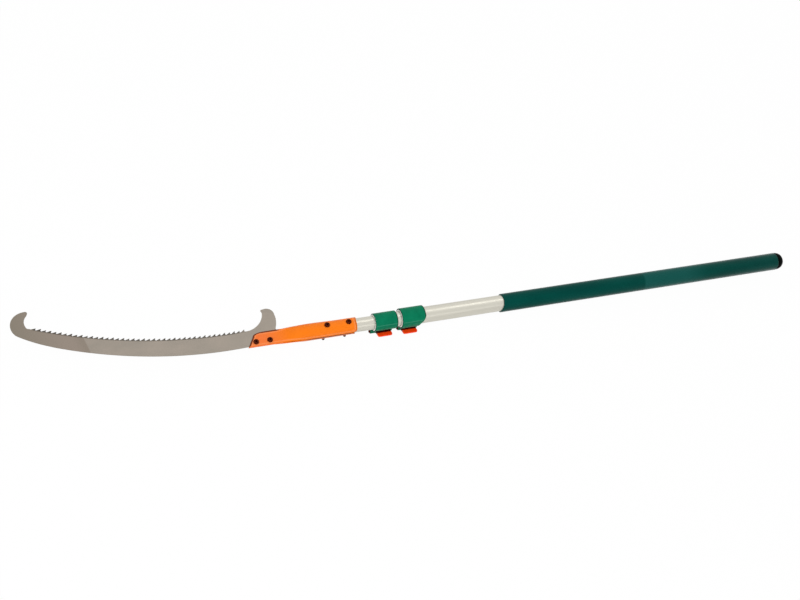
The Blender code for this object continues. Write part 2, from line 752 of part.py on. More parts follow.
def build_pin(name, frame, sizes, material):
    """Headed pin through the front ear of the boss, blind in the rear ear."""
    front = sizes["boss_setback"] - SEAT
    rear = sizes["boss_setback"] + sizes["boss_length"] - PIN_BLIND - SEAT
    half = PIN_HEAD_THICKNESS / 2
    profile = [(front - 2 * half, 0.0), (front - 2 * half, PIN_HEAD_TOP_RADIUS),
               (front - half, PIN_HEAD_RADIUS), (front, PIN_HEAD_RADIUS),
               (front, PIN_RADIUS), (rear, PIN_RADIUS), (rear, 0.0)]
    make_object(name + "_pin", turned(profile, SMALL_SIDES), material, frame,
                (0.0, 0.0, -sizes["pin_drop"]))


def build_fixing_screw(name, frame, sizes, material):
    """Small screw that fixes the clamp body to its tube."""
    seat = sizes["radius"] + SEAT
    tip = sizes["carry_radius"] - TUBE_WALL
    top = seat + FIXING_SCREW_HEAD_THICKNESS
    edge = FIXING_SCREW_HEAD_EDGE
    profile = [(tip, 0.0), (tip, FIXING_SCREW_RADIUS), (seat, FIXING_SCREW_RADIUS),
               (seat, FIXING_SCREW_HEAD_RADIUS), (top - edge, FIXING_SCREW_HEAD_RADIUS),
               (top, FIXING_SCREW_HEAD_RADIUS - edge), (top, 0.0)]
    screw = make_object(name + "_screw", turned(profile, SMALL_SIDES, axis="Z"), material, frame,
                        (sizes["length"] - FIXING_SCREW_SETBACK, 0.0, 0.0))
    screw.rotation_euler = (FIXING_SCREW_TURN, 0.0, 0.0)


def clamp_sizes(slide_radius, wall, length, boss_setback, lever_setback, shoe_thickness,
                relief=0.0):
    """Sizes of a clamp that follow from the tube that slides in it."""
    carry_radius = slide_radius + TUBE_CLEARANCE + TUBE_WALL
    slide_bore = slide_radius + SEAT
    lever_end = lever_setback + LEVER_WIDTH
    return {
        "slide_radius": slide_radius,
        "slide_bore": slide_bore,
        "carry_radius": carry_radius,
        "socket": carry_radius + SEAT,
        "radius": carry_radius + SEAT + wall,
        "length": length,
        "relief": relief,
        "boss_setback": boss_setback,
        "lever_setback": lever_setback,
        "shoe_thickness": shoe_thickness,
        "boss_length": lever_end + BOSS_BEHIND_LEVER - boss_setback,
        "pin_drop": slide_bore + shoe_thickness + SEAT + CAM_RADIUS + CAM_OFFSET,
    }


def build_clamp(name, front, sizes, finish):
    """One lever clamp, in a frame at its front end, turned about the pole."""
    frame = make_empty(name + "_frame", (front, 0.0, 0.0), CLAMP_TURN)
    cutters = clamp_cutters(name, frame, sizes)
    reliefs = [clamp_relief(name, frame, sizes)] if sizes["relief"] else []
    build_clamp_body(name, frame, sizes, finish["clamp"], reliefs, cutters)
    build_bushing(name, frame, sizes, finish["bushing"])
    build_lever(name, frame, sizes, finish["lever"])
    build_shoe(name, frame, sizes, finish["shoe"])
    build_pin(name, frame, sizes, finish["dark_steel"])
    build_fixing_screw(name, frame, sizes, finish["dark_steel"])
    return cutters[-3:-1]


# Tubes, grip and cap

def build_tubes(finish, front_cutters, rear_cutters, holes):
    """Three nested tubes; the two that carry a clamp have a window for its shoe."""
    outer_front = REAR_CLAMP_FRONT + BUSHING_LENGTH + 2 * SEAT
    outer = make_object("outer_tube", keyed_tube(GRIP_REAR, outer_front, OUTER_TUBE_RADIUS),
                        finish["tube"])
    combine(outer, "DIFFERENCE", *rear_cutters)

    middle_front = FRONT_CLAMP_FRONT + BUSHING_LENGTH + 2 * SEAT
    middle = make_object("middle_tube",
                         keyed_tube(-MIDDLE_TUBE_REAR, middle_front, MIDDLE_TUBE_RADIUS),
                         finish["tube"])
    combine(middle, "DIFFERENCE", *front_cutters)

    inner = make_object("inner_tube",
                        keyed_tube(-INNER_TUBE_REAR, INNER_TUBE_FRONT, INNER_TUBE_RADIUS),
                        finish["tube"])
    combine(inner, "DIFFERENCE", holes)


def build_guide_plug(name, rear, radius, material):
    """Plug in the rear end of a sliding tube; its flange runs in the next tube."""
    spigot = radius - TUBE_WALL - SEAT
    seat = rear + SEAT
    stations = [(seat + PLUG_FLANGE, radius), (seat, radius), (seat, spigot),
                (seat - PLUG_SPIGOT_LENGTH, spigot)]
    make_object(name, keyed_solid(stations), material)


def build_core(material, holes):
    """Plug that keeps the inner tube round where the screws squeeze it."""
    radius = INNER_TUBE_RADIUS - TUBE_WALL - SEAT
    stations = [(INNER_TUBE_FRONT + CORE_SETBACK, radius), (HOLDER_REAR, radius)]
    core = make_object("tube_core", keyed_solid(stations), material)
    combine(core, "DIFFERENCE", holes)


def build_grip(material):
    """Sleeve over the rear of the outer tube."""
    bore = OUTER_TUBE_RADIUS + SEAT
    edge = GRIP_RIM_CHAMFER
    rear = GRIP_REAR
    profile = [(rear, bore), (rear, GRIP_RADIUS - edge), (rear - edge, GRIP_RADIUS),
               (GRIP_FRONT + edge, GRIP_RADIUS), (GRIP_FRONT, GRIP_RADIUS - edge),
               (GRIP_FRONT, bore)]
    bm = turned(profile, ROUND_SIDES, closed=True)
    for vert in bm.verts:
        if vert.co.x < GRIP_FRONT + 2 * edge:
            angle = math.atan2(vert.co.z, vert.co.y) - GRIP_TONGUE_TURN
            vert.co.x -= GRIP_FRONT_TONGUE * ((1.0 + math.cos(angle)) / 2) ** 3
    make_object("grip_sleeve", bm, material)


def build_cap(material):
    """Domed butt cap with a barbed spigot in the outer tube."""
    spigot = OUTER_TUBE_RADIUS - TUBE_WALL - KEY_DEPTH - SEAT
    seat = GRIP_REAR + SEAT
    end = seat - CAP_SPIGOT_LENGTH
    profile = [(end, 0.0), (end, spigot - CAP_BARB)]
    pitch = CAP_SPIGOT_LENGTH / (CAP_BARB_COUNT + 1)
    for barb in range(CAP_BARB_COUNT):
        x = end + pitch * (barb + 1)
        profile += [(x, spigot), (x, spigot - CAP_BARB)]
    profile += [(seat, spigot - CAP_BARB), (seat, CAP_RADIUS)]
    dome = -seat - CAP_RIM
    for step in range(CAP_DOME_STEPS + 1):
        angle = math.pi / 2 * step / CAP_DOME_STEPS
        x = -dome + dome * math.sin(angle)
        radius = CAP_FLAT_RADIUS + (CAP_RADIUS - CAP_FLAT_RADIUS) * math.cos(angle)
        profile.append((x, radius))
    profile.append((0.0, 0.0))
    make_object("end_cap", turned(profile, ROUND_SIDES), material)


def build_all():
    """Put the whole saw together."""
    clear_scene()
    finish = {
        "blade": make_material("blade_steel", (0.330, 0.305, 0.260), 0.35, 0.9),
        "holder": make_material("orange_paint", (0.940, 0.202, 0.008), 0.40, 0.0),
        "lever": make_material("red_plastic", (0.830, 0.062, 0.008), 0.40, 0.0),
        "clamp": make_material("green_plastic", (0.003, 0.195, 0.090), 0.45, 0.0),
        "grip": make_material("dark_green_grip", (0.001, 0.056, 0.046), 0.55, 0.0),
        "cap": make_material("black_rubber", (0.010, 0.010, 0.010), 0.60, 0.0),
        "tube": make_material("satin_aluminium", (0.680, 0.660, 0.580), 0.35, 1.0),
        "shoe": make_material("grey_nylon", (0.300, 0.300, 0.300), 0.50, 0.0),
        "bushing": make_material("natural_nylon", (0.720, 0.720, 0.680), 0.45, 0.0),
        "dark_steel": make_material("blackened_steel", (0.020, 0.016, 0.014), 0.40, 0.8),
        "zinc": make_material("zinc_plate", (0.550, 0.560, 0.580), 0.35, 1.0),
    }
    holes = screw_holes()
    pockets = spotfaces()

    front_sizes = clamp_sizes(INNER_TUBE_RADIUS, FRONT_CLAMP_WALL, FRONT_CLAMP_LENGTH,
                              FRONT_BOSS_SETBACK, FRONT_LEVER_SETBACK, FRONT_SHOE_THICKNESS)
    rear_sizes = clamp_sizes(MIDDLE_TUBE_RADIUS, REAR_CLAMP_WALL, REAR_CLAMP_LENGTH,
                             REAR_BOSS_SETBACK, REAR_LEVER_SETBACK, REAR_SHOE_THICKNESS,
                             REAR_CLAMP_RELIEF)
    front_cutters = build_clamp("front_clamp", FRONT_CLAMP_FRONT, front_sizes, finish)
    rear_cutters = build_clamp("rear_clamp", REAR_CLAMP_FRONT, rear_sizes, finish)

    build_tubes(finish, front_cutters, rear_cutters, holes)
    build_guide_plug("middle_guide_plug", -MIDDLE_TUBE_REAR, MIDDLE_TUBE_RADIUS, finish["shoe"])
    build_guide_plug("inner_guide_plug", -INNER_TUBE_REAR, INNER_TUBE_RADIUS, finish["shoe"])
    build_core(finish["shoe"], holes)
    build_grip(finish["grip"])
    build_cap(finish["cap"])

    build_blade(finish["blade"], holes)
    cutters = (holes, pockets)
    build_shell("holder_near_shell", 1.0, NEAR_LOWER_WIDTH, NEAR_REAR_CORNER,
                finish["holder"], cutters)
    build_shell("holder_far_shell", -1.0, FAR_LOWER_WIDTH, FAR_REAR_CORNER,
                finish["holder"], cutters)
    build_fasteners(finish["dark_steel"], finish["zinc"])


build_all()
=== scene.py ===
"""Looks of the telescopic pole saw: camera, floor, light and the finish of each piece.

Everything is in metres, in the part's own frame. X runs along the pole and is 0 at
the butt, the blade lies flat at -X with its teeth towards +Y, and the screw heads
face +Z.
"""

import cmath
import math

import bmesh
import bpy
from mathutils import Matrix, Vector


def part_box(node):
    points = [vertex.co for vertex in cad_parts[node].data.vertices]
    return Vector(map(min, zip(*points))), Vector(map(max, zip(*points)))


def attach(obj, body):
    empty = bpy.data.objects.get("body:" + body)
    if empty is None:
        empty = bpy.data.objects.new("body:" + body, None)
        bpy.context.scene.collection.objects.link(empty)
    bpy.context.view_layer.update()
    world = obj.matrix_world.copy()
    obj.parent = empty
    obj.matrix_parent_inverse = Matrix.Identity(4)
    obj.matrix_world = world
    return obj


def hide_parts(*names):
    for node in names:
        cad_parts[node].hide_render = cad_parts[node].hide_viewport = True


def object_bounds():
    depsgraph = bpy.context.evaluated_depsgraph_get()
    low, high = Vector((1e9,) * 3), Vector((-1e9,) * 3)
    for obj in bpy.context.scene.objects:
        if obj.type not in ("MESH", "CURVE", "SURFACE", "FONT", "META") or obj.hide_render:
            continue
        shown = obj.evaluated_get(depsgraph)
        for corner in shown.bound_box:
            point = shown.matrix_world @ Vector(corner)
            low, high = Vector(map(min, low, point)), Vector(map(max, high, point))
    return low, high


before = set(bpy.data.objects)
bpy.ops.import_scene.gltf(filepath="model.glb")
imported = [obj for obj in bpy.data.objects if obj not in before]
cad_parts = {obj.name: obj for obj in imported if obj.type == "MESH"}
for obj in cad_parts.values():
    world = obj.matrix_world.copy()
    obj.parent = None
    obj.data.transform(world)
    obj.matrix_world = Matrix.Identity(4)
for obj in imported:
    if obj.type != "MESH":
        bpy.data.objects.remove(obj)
solid_low, solid_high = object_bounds()


# Camera, floor and light
# The saw lies on white paper in a light tent. The photograph looks down on it
# from beside the blade's end, through a lens a little longer than normal.

CAMERA_LENS = 63.0
CAMERA_PLACE = (-1.7533, -1.3185, 1.9920)
CAMERA_TURN = (37.924, -12.167, -19.157)
BOUNCE_LIGHT = 0.290
PAPER_REACH = 12.0
PAPER_GAP = 0.0005
PAPER_TONE = (0.86, 0.86, 0.86)
PAPER_GLOW = 0.975

# Each box: its name, its place, the point it is turned towards, its width along the
# pole and its depth, its watts, and whether a gloss shows it. The two strongest ones
# don't show there, so that they light the pole without a hard white streak along it.
SOFT_BOXES = (
    ("main_box", (-2.00, -1.40, 2.90), (-0.75, 0.0, 0.0), (3.0, 1.4), 86.0, False),
    ("top_box", (0.10, 0.60, 2.30), (-0.60, 0.0, 0.0), (3.4, 0.7), 9.0, True),
    ("back_box", (-0.30, 2.20, 1.50), (-0.60, 0.0, 0.0), (3.2, 1.2), 18.0, False),
    ("front_box", (-1.30, -2.60, 0.70), (-0.80, 0.0, 0.0), (2.8, 1.0), 11.0, True),
)

camera_data = bpy.data.cameras.new("camera")
camera_data.lens = CAMERA_LENS
camera = bpy.data.objects.new("camera", camera_data)
camera.location = CAMERA_PLACE
camera.rotation_euler = [math.radians(angle) for angle in CAMERA_TURN]
bpy.context.scene.collection.objects.link(camera)
bpy.context.scene.camera = camera
bpy.context.scene.view_settings.view_transform = "Standard"


def seen_directly(tree):
    """1 for rays from the camera, off a gloss or through glass, 0 for soft bounces."""
    path = tree.nodes.new("ShaderNodeLightPath")
    seen = path.outputs["Is Camera Ray"]
    for kind in ("Is Glossy Ray", "Is Transmission Ray"):
        either = tree.nodes.new("ShaderNodeMath")
        either.operation = "MAXIMUM"
        tree.links.new(seen, either.inputs[0])
        tree.links.new(path.outputs[kind], either.inputs[1])
        seen = either.outputs["Value"]
    return seen


tent = bpy.data.worlds.new("light_tent")
tent.use_nodes = True
tent_tree = tent.node_tree
tent_light = tent_tree.nodes["Background"]
tent_light.inputs["Color"].default_value = (1.0, 1.0, 1.0, 1.0)
tent_strength = tent_tree.nodes.new("ShaderNodeMapRange")
tent_strength.inputs["To Min"].default_value = BOUNCE_LIGHT
tent_tree.links.new(seen_directly(tent_tree), tent_strength.inputs["Value"])
tent_tree.links.new(tent_strength.outputs["Result"], tent_light.inputs["Strength"])
bpy.context.scene.world = tent

paper_shape = bmesh.new()
bmesh.ops.create_grid(paper_shape, x_segments=1, y_segments=1, size=PAPER_REACH)
bmesh.ops.translate(paper_shape, verts=paper_shape.verts, vec=(0.0, 0.0, solid_low.z - PAPER_GAP))
paper_mesh = bpy.data.meshes.new("paper")
paper_shape.to_mesh(paper_mesh)
paper_shape.free()
paper = bpy.data.objects.new("paper", paper_mesh)
bpy.context.scene.collection.objects.link(paper)

# The paper shows almost white with a faint shadow, and throws soft light on the saw
paper_finish = bpy.data.materials.new("white_paper")
paper_finish.use_nodes = True
paper_tree = paper_finish.node_tree
paper_tree.nodes.remove(paper_tree.nodes["Principled BSDF"])
paper_dull = paper_tree.nodes.new("ShaderNodeBsdfDiffuse")
paper_dull.inputs["Color"].default_value = (*PAPER_TONE, 1.0)
paper_glow = paper_tree.nodes.new("ShaderNodeEmission")
paper_glow.inputs["Strength"].default_value = 1.0
paper_share = paper_tree.nodes.new("ShaderNodeMapRange")
paper_share.inputs["To Max"].default_value = PAPER_GLOW
paper_mix = paper_tree.nodes.new("ShaderNodeMixShader")
paper_tree.links.new(seen_directly(paper_tree), paper_share.inputs["Value"])
paper_tree.links.new(paper_share.outputs["Result"], paper_mix.inputs["Fac"])
paper_tree.links.new(paper_dull.outputs["BSDF"], paper_mix.inputs[1])
paper_tree.links.new(paper_glow.outputs["Emission"], paper_mix.inputs[2])
paper_tree.links.new(paper_mix.outputs["Shader"],
                     paper_tree.nodes["Material Output"].inputs["Surface"])
paper_mesh.materials.append(paper_finish)

for name, place, aim, (width, depth), watts, in_gloss in SOFT_BOXES:
    lamp = bpy.data.lights.new(name, "AREA")
    lamp.shape = "RECTANGLE"
    lamp.size = width
    lamp.size_y = depth
    lamp.energy = watts
    box = bpy.data.objects.new(name, lamp)
    box.location = place
    away = [start - end for start, end in zip(place, aim)]
    box.rotation_euler = (math.atan2(-away[1], away[2]), math.atan2(away[0], away[2]), 0.0)
    box.visible_glossy = in_gloss
    bpy.context.scene.collection.objects.link(box)


# Tubes
# Three drawn aluminium tubes, one in the next, with a shallow groove pressed along
# each so that they can't turn. They are satin anodised, with faint lines from the die.

TUBES = (("outer_tube", "handle"), ("middle_tube", "middle_section"), ("inner_tube", "saw_head"))
ALUMINIUM_TONES = ((0.588, 0.566, 0.494), (0.637, 0.617, 0.541))
WELD = 2e-6
CREASE = 32.0
BLOOM_SPREAD = 0.36
NOISE_SPAN = (0.3, 0.7)

# Places of a Mix node's two colours among its inputs, and of its result
MIX_COLOURS = (6, 7)
MIX_RESULT = 2


def copy_of(node):
    """The node's own mesh with its loose triangles joined."""
    shape = bmesh.new()
    shape.from_mesh(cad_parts[node].data)
    bmesh.ops.remove_doubles(shape, verts=shape.verts, dist=WELD)
    return shape


def place_piece(name, shape, body, finish, node, crease=CREASE):
    """Make the piece, give it its finish, and put it on its body in place of its node."""
    mesh = bpy.data.meshes.new(name)
    shape.to_mesh(mesh)
    shape.free()
    if "custom_normal" in mesh.attributes:
        mesh.attributes.remove(mesh.attributes["custom_normal"])
    mesh.shade_smooth()
    mesh.set_sharp_from_angle(angle=math.radians(crease))
    mesh.materials.append(finish)
    piece = bpy.data.objects.new(name, mesh)
    bpy.context.scene.collection.objects.link(piece)
    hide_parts(node)
    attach(piece, body)


def new_finish(name, metallic, specular, bloom=0.0):
    """A material with one Principled shader, with or without a bloom at glancing angles."""
    finish = bpy.data.materials.new(name)
    finish.use_nodes = True
    shader = finish.node_tree.nodes["Principled BSDF"]
    shader.inputs["Metallic"].default_value = metallic
    shader.inputs["Specular IOR Level"].default_value = specular
    shader.inputs["Sheen Weight"].default_value = bloom
    shader.inputs["Sheen Roughness"].default_value = BLOOM_SPREAD
    return finish, finish.node_tree, shader


def noise_on(tree, scale, detail, stretch=(1.0, 1.0, 1.0)):
    """Noise on the object's coordinates, packed closer along an axis by its stretch."""
    place = tree.nodes.new("ShaderNodeTexCoord")
    mapping = tree.nodes.new("ShaderNodeMapping")
    mapping.inputs["Scale"].default_value = stretch
    noise = tree.nodes.new("ShaderNodeTexNoise")
    noise.inputs["Scale"].default_value = scale
    noise.inputs["Detail"].default_value = detail
    tree.links.new(place.outputs["Object"], mapping.inputs["Vector"])
    tree.links.new(mapping.outputs["Vector"], noise.inputs["Vector"])
    return noise.outputs["Fac"]


def spread(tree, value, start, end, low=0.0, high=1.0):
    """Spread the stretch from start to end of a value over low to high."""
    spreader = tree.nodes.new("ShaderNodeMapRange")
    spreader.inputs["From Min"].default_value = start
    spreader.inputs["From Max"].default_value = end
    spreader.inputs["To Min"].default_value = low
    spreader.inputs["To Max"].default_value = high
    tree.links.new(value, spreader.inputs["Value"])
    return spreader.outputs["Result"]


def two_tone(tree, share, first, second):
    """Colour that goes from first to second; either may be another node's output."""
    mixer = tree.nodes.new("ShaderNodeMix")
    mixer.data_type = "RGBA"
    tree.links.new(share, mixer.inputs["Factor"])
    for socket, colour in zip(MIX_COLOURS, (first, second)):
        if isinstance(colour, tuple):
            mixer.inputs[socket].default_value = (*colour, 1.0)
        else:
            tree.links.new(colour, mixer.inputs[socket])
    return mixer.outputs[MIX_RESULT]


def mottled(tree, noise, tones, start, end):
    """Clouds of two tones: the first where the noise is under start, the second over end."""
    return two_tone(tree, spread(tree, noise, start, end), *tones)


def lay_on(tree, shader, tone, wear, relief, roughness, depth, strength):
    """Give the shader its tone, a roughness that the wear varies, and a relief in metres."""
    tree.links.new(tone, shader.inputs["Base Color"])
    tree.links.new(spread(tree, wear, *NOISE_SPAN, *roughness), shader.inputs["Roughness"])
    bump = tree.nodes.new("ShaderNodeBump")
    bump.inputs["Distance"].default_value = depth
    bump.inputs["Strength"].default_value = strength
    tree.links.new(relief, bump.inputs["Height"])
    tree.links.new(bump.outputs["Normal"], shader.inputs["Normal"])


aluminium, tree, shader = new_finish("satin_aluminium", metallic=1.0, specular=0.5)
die_lines = noise_on(tree, scale=6.0, detail=2.0, stretch=(0.15, 60.0, 60.0))
clouds = noise_on(tree, scale=35.0, detail=4.0)
aluminium_tone = mottled(tree, die_lines, ALUMINIUM_TONES, start=0.35, end=0.65)
lay_on(tree, shader, aluminium_tone, clouds, die_lines, roughness=(0.36, 0.46),
       depth=0.00002, strength=0.4)
for node, body in TUBES:
    place_piece("drawn_" + node, copy_of(node), body, aluminium, node)


# Grip
# A long sleeve of dark green vinyl, dipped smooth and shrunk over the rear of the
# outer tube. Its front rim runs out to a short tongue on the underside.

GRIP_REAR = -0.0165
GRIP_FRONT = -0.635
GRIP_RADIUS = 0.0172
GRIP_BORE = 0.0153
GRIP_ROUNDING = 0.0009
GRIP_TONGUE = 0.0045
GRIP_TONGUE_TURN = math.radians(213.5)
GRIP_TONGUE_POINT = 3
ROUND_SIDES = 96
NEAR = 1e-5
X_AXIS = (1.0, 0.0, 0.0)
VINYL_TONES = ((0.0001, 0.047, 0.038), (0.0005, 0.062, 0.049))
RUBBED = (-0.332, -0.328, -0.235, -0.185)
RUBBED_TONE = (0.0064, 0.080, 0.068)


def spun(profile, sides, closed=False):
    """Spin a profile of (x, radius) points about the pole's axis."""
    shape = bmesh.new()
    points = [shape.verts.new((x, radius, 0.0)) for x, radius in profile]
    edges = [shape.edges.new(pair) for pair in zip(points, points[1:])]
    if closed:
        edges.append(shape.edges.new((points[-1], points[0])))
    bmesh.ops.spin(shape, geom=points + edges, cent=(0.0, 0.0, 0.0), axis=X_AXIS,
                   angle=2 * math.pi, steps=sides, use_merge=True)
    bmesh.ops.remove_doubles(shape, verts=shape.verts, dist=WELD)
    bmesh.ops.recalc_face_normals(shape, faces=shape.faces)
    return shape


def round_over(shape, edges, offset, segments):
    """Round a piece's edges over."""
    bmesh.ops.bevel(shape, geom=edges, offset=offset, segments=segments, profile=0.5,
                    affect="EDGES", material=-1)


sleeve = spun([(GRIP_REAR, GRIP_BORE), (GRIP_REAR, GRIP_RADIUS),
               (GRIP_FRONT, GRIP_RADIUS), (GRIP_FRONT, GRIP_BORE)], ROUND_SIDES, closed=True)
outer_rims = [edge for edge in sleeve.edges
              if all(abs(vert.co.yz.length - GRIP_RADIUS) < NEAR for vert in edge.verts)
              and abs(edge.verts[0].co.x - edge.verts[1].co.x) < NEAR]
round_over(sleeve, outer_rims, GRIP_ROUNDING, segments=4)
for vert in sleeve.verts:
    if vert.co.x < GRIP_FRONT + 2 * GRIP_ROUNDING:
        turn = math.atan2(vert.co.z, vert.co.y) - GRIP_TONGUE_TURN
        vert.co.x -= GRIP_TONGUE * ((1.0 + math.cos(turn)) / 2) ** GRIP_TONGUE_POINT


def along(tree, direction, start, end):
    """Rise from 0 to 1 between two places along a direction through the object."""
    place = tree.nodes.new("ShaderNodeTexCoord")
    run = tree.nodes.new("ShaderNodeVectorMath")
    run.operation = "DOT_PRODUCT"
    run.inputs[1].default_value = direction
    tree.links.new(place.outputs["Object"], run.inputs[0])
    return spread(tree, run.outputs["Value"], start, end)


def both(tree, first, second):
    """Product of two shares."""
    product = tree.nodes.new("ShaderNodeMath")
    product.operation = "MULTIPLY"
    tree.links.new(first, product.inputs[0])
    tree.links.new(second, product.inputs[1])
    return product.outputs["Value"]


def band(tree, direction, start, full, fading, end):
    """Rise from start to full along a direction, stay at 1, and fall from fading to end."""
    return both(tree, along(tree, direction, start, full), along(tree, direction, end, fading))


vinyl, tree, shader = new_finish("dark_green_vinyl", metallic=0.0, specular=0.012, bloom=0.54)
skin = noise_on(tree, scale=38.0, detail=5.0, stretch=(0.25, 1.0, 1.0))
grain = noise_on(tree, scale=900.0, detail=3.0)
vinyl_tone = mottled(tree, skin, VINYL_TONES, start=0.35, end=0.68)
rubbed_tone = two_tone(tree, band(tree, X_AXIS, *RUBBED), vinyl_tone, RUBBED_TONE)
lay_on(tree, shader, rubbed_tone, skin, grain, roughness=(0.34, 0.50),
       depth=0.00003, strength=0.35)
place_piece("vinyl_grip", sleeve, "handle", vinyl, "grip_sleeve")


# Butt cap
# A moulded black rubber dome that stops the butt. Its barbed spigot is driven into
# the outer tube, and a small flat in the middle of the dome takes the ground.

CAP_SEAT = -0.0162
CAP_RIM = 0.0017
CAP_RADIUS = 0.0168
CAP_CHAMFER = 0.0003
CAP_FLAT = 0.0060
SPIGOT_END = -0.0462
SPIGOT_RADIUS = 0.0130
BARB = 0.0006
BARBS = 4
DOME_STEPS = 24
RUBBER_TONES = ((0.0005, 0.0014, 0.0009), (0.0027, 0.0037, 0.0031))

cap_profile = [(SPIGOT_END, 0.0), (SPIGOT_END, SPIGOT_RADIUS - BARB)]
for barb in range(BARBS):
    x = SPIGOT_END + (CAP_SEAT - SPIGOT_END) * (barb + 1) / (BARBS + 1)
    cap_profile += [(x, SPIGOT_RADIUS), (x, SPIGOT_RADIUS - BARB)]
cap_profile += [(CAP_SEAT, SPIGOT_RADIUS - BARB), (CAP_SEAT, CAP_RADIUS - CAP_CHAMFER),
                (CAP_SEAT + CAP_CHAMFER, CAP_RADIUS)]
dome = -CAP_SEAT - CAP_RIM
for step in range(DOME_STEPS + 1):
    turn = math.pi / 2 * step / DOME_STEPS
    cap_profile.append((-dome + dome * math.sin(turn),
                        CAP_FLAT + (CAP_RADIUS - CAP_FLAT) * math.cos(turn)))
cap_profile.append((0.0, 0.0))

rubber, tree, shader = new_finish("black_rubber", metallic=0.0, specular=0.012, bloom=0.14)
scuffs = noise_on(tree, scale=160.0, detail=5.0)
rubber_tone = mottled(tree, scuffs, RUBBER_TONES, start=0.5, end=0.75)
lay_on(tree, shader, rubber_tone, scuffs, scuffs, roughness=(0.50, 0.72),
       depth=0.00008, strength=0.5)
place_piece("rubber_cap", spun(cap_profile, ROUND_SIDES), "handle", rubber,
            "end_cap")


# Clamp sleeves
# Two green moulded sleeves, one screwed to the front end of each carrying tube. The
# long boss under each one holds the lever's pin, and a slot in it lets the cam in.

CLAMPS = (("rear", "handle"), ("front", "middle_section"))
Y_AXIS = (0.0, 1.0, 0.0)
Z_AXIS = (0.0, 0.0, 1.0)
GREEN_TONES = ((0.0020, 0.151, 0.073), (0.0037, 0.183, 0.090))

# A painted highlight: a pale line along each sleeve, on the side away from the teeth
GLINT_ANGLE = math.radians(64.5)
GLINT_ACROSS = (0.0, math.cos(GLINT_ANGLE), math.sin(GLINT_ANGLE))
GLINT_LINE = (-0.0009, -0.0002, 0.0002, 0.0009)
GLINT_SIDE = (0.0, -0.004)
GLINT_TONE = (0.041, 0.242, 0.151)

# Painted shade at the rims, each given by its place and half its width, ending above the boss
SLEEVE_RIMS = ((-0.8940, 0.0008), (-0.8500, 0.0026), (-0.8420, 0.0008), (-0.7955, 0.0026))
RIM_CORE = 0.6
RIM_FOOT = (-0.0176, -0.0168)
RIM_SHADE_TONE = (0.0073, 0.046, 0.027)

# The slanted cut at the rear sleeve's back: how far towards the blade it runs, over
# what depth, how far that depth is turned from straight down, and how it bends
CUT_RUN = 0.0120
CUT_DEPTH = 0.0185
CUT_ANGLE = math.radians(56.0)
CUT_DOWN = Vector((0.0, -math.sin(CUT_ANGLE), -math.cos(CUT_ANGLE)))
CUT_BEND = 1.7
CUT_NEAR = 2e-5


def curve_cut(shape, rear_rim):
    """Bend the solid's straight slanted cut into the curve that the real sleeve has."""
    for vert in shape.verts:
        drop = vert.co.dot(CUT_DOWN) / CUT_DEPTH
        if drop > 0.0 and abs(vert.co.x - rear_rim + CUT_RUN * drop) < CUT_NEAR:
            vert.co.x = rear_rim - CUT_RUN * drop ** CUT_BEND


green, tree, shader = new_finish("green_moulding", metallic=0.0, specular=0.03, bloom=0.12)
flow = noise_on(tree, scale=60.0, detail=3.0)
pebble = noise_on(tree, scale=1400.0, detail=2.0)
green_tone = mottled(tree, flow, GREEN_TONES, start=0.35, end=0.65)
# Paint the pale highlight line onto the green
on_glint = both(tree, band(tree, GLINT_ACROSS, *GLINT_LINE), along(tree, Y_AXIS, *GLINT_SIDE))
green_tone = two_tone(tree, on_glint, green_tone, GLINT_TONE)
# Painted shade at each rim of the sleeves
for rim, width in SLEEVE_RIMS:
    rim_shade = band(tree, X_AXIS, rim - width, rim - RIM_CORE * width, rim + RIM_CORE * width,
                  rim + width)
    rim_shade = both(tree, rim_shade, along(tree, Z_AXIS, *RIM_FOOT))
    green_tone = two_tone(tree, rim_shade, green_tone, RIM_SHADE_TONE)
lay_on(tree, shader, green_tone, flow, pebble, roughness=(0.36, 0.48),
       depth=0.00002, strength=0.3)

for end, body in CLAMPS:
    node = end + "_clamp_body"
    sleeve = copy_of(node)
    if end == "rear":
        curve_cut(sleeve, rear_rim=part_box(node)[1].x)
    place_piece(end + "_clamp_sleeve", sleeve, body, green, node)


# Mouth bushings
# A turned ring of undyed nylon pressed into each sleeve's mouth. The thinner tube
# runs in it, and it shows as a pale rim.

MOUTHS = (("rear", "handle", -0.8420, 0.0141), ("front", "middle_section", -0.8940, 0.0129))
RING_LENGTH = 0.0030
RING_WALL = 0.0021
RING_ROUNDING = 0.0003
NYLON_TONES = ((0.880, 0.895, 0.870), (0.930, 0.940, 0.915))

nylon, tree, shader = new_finish("undyed_nylon", metallic=0.0, specular=0.3)
rub = noise_on(tree, scale=120.0, detail=3.0)
nylon_tone = mottled(tree, rub, NYLON_TONES, start=0.35, end=0.7)
lay_on(tree, shader, nylon_tone, rub, rub, roughness=(0.38, 0.52), depth=0.00003, strength=0.3)

for end, body, mouth, bore in MOUTHS:
    ring = spun([(mouth, bore), (mouth, bore + RING_WALL),
                 (mouth + RING_LENGTH, bore + RING_WALL), (mouth + RING_LENGTH, bore)],
                ROUND_SIDES, closed=True)
    front_rims = [edge for edge in ring.edges
                  if all(abs(vert.co.x - mouth) < NEAR for vert in edge.verts)
                  and abs(edge.verts[0].co.yz.length - edge.verts[1].co.yz.length) < NEAR]
    round_over(ring, front_rims, RING_ROUNDING, segments=2)
    place_piece(end + "_mouth_ring", ring, body, nylon, end + "_clamp_bushing")


# Cam levers
# Two orange red moulded levers. Each is a cam on a pin with a flat paddle for the
# thumb, and lies along its sleeve when the tube is locked.

RED_TONES = ((0.970, 0.047, 0.0027), (0.990, 0.067, 0.0055))
# A painted shadow across the lever's neck, where it lies under the sleeve's edge
CREVICE = (-0.0146, -0.0128, -0.0084, -0.0064)
CREVICE_SHADOW_TONE = (0.055, 0.0027, 0.0009)

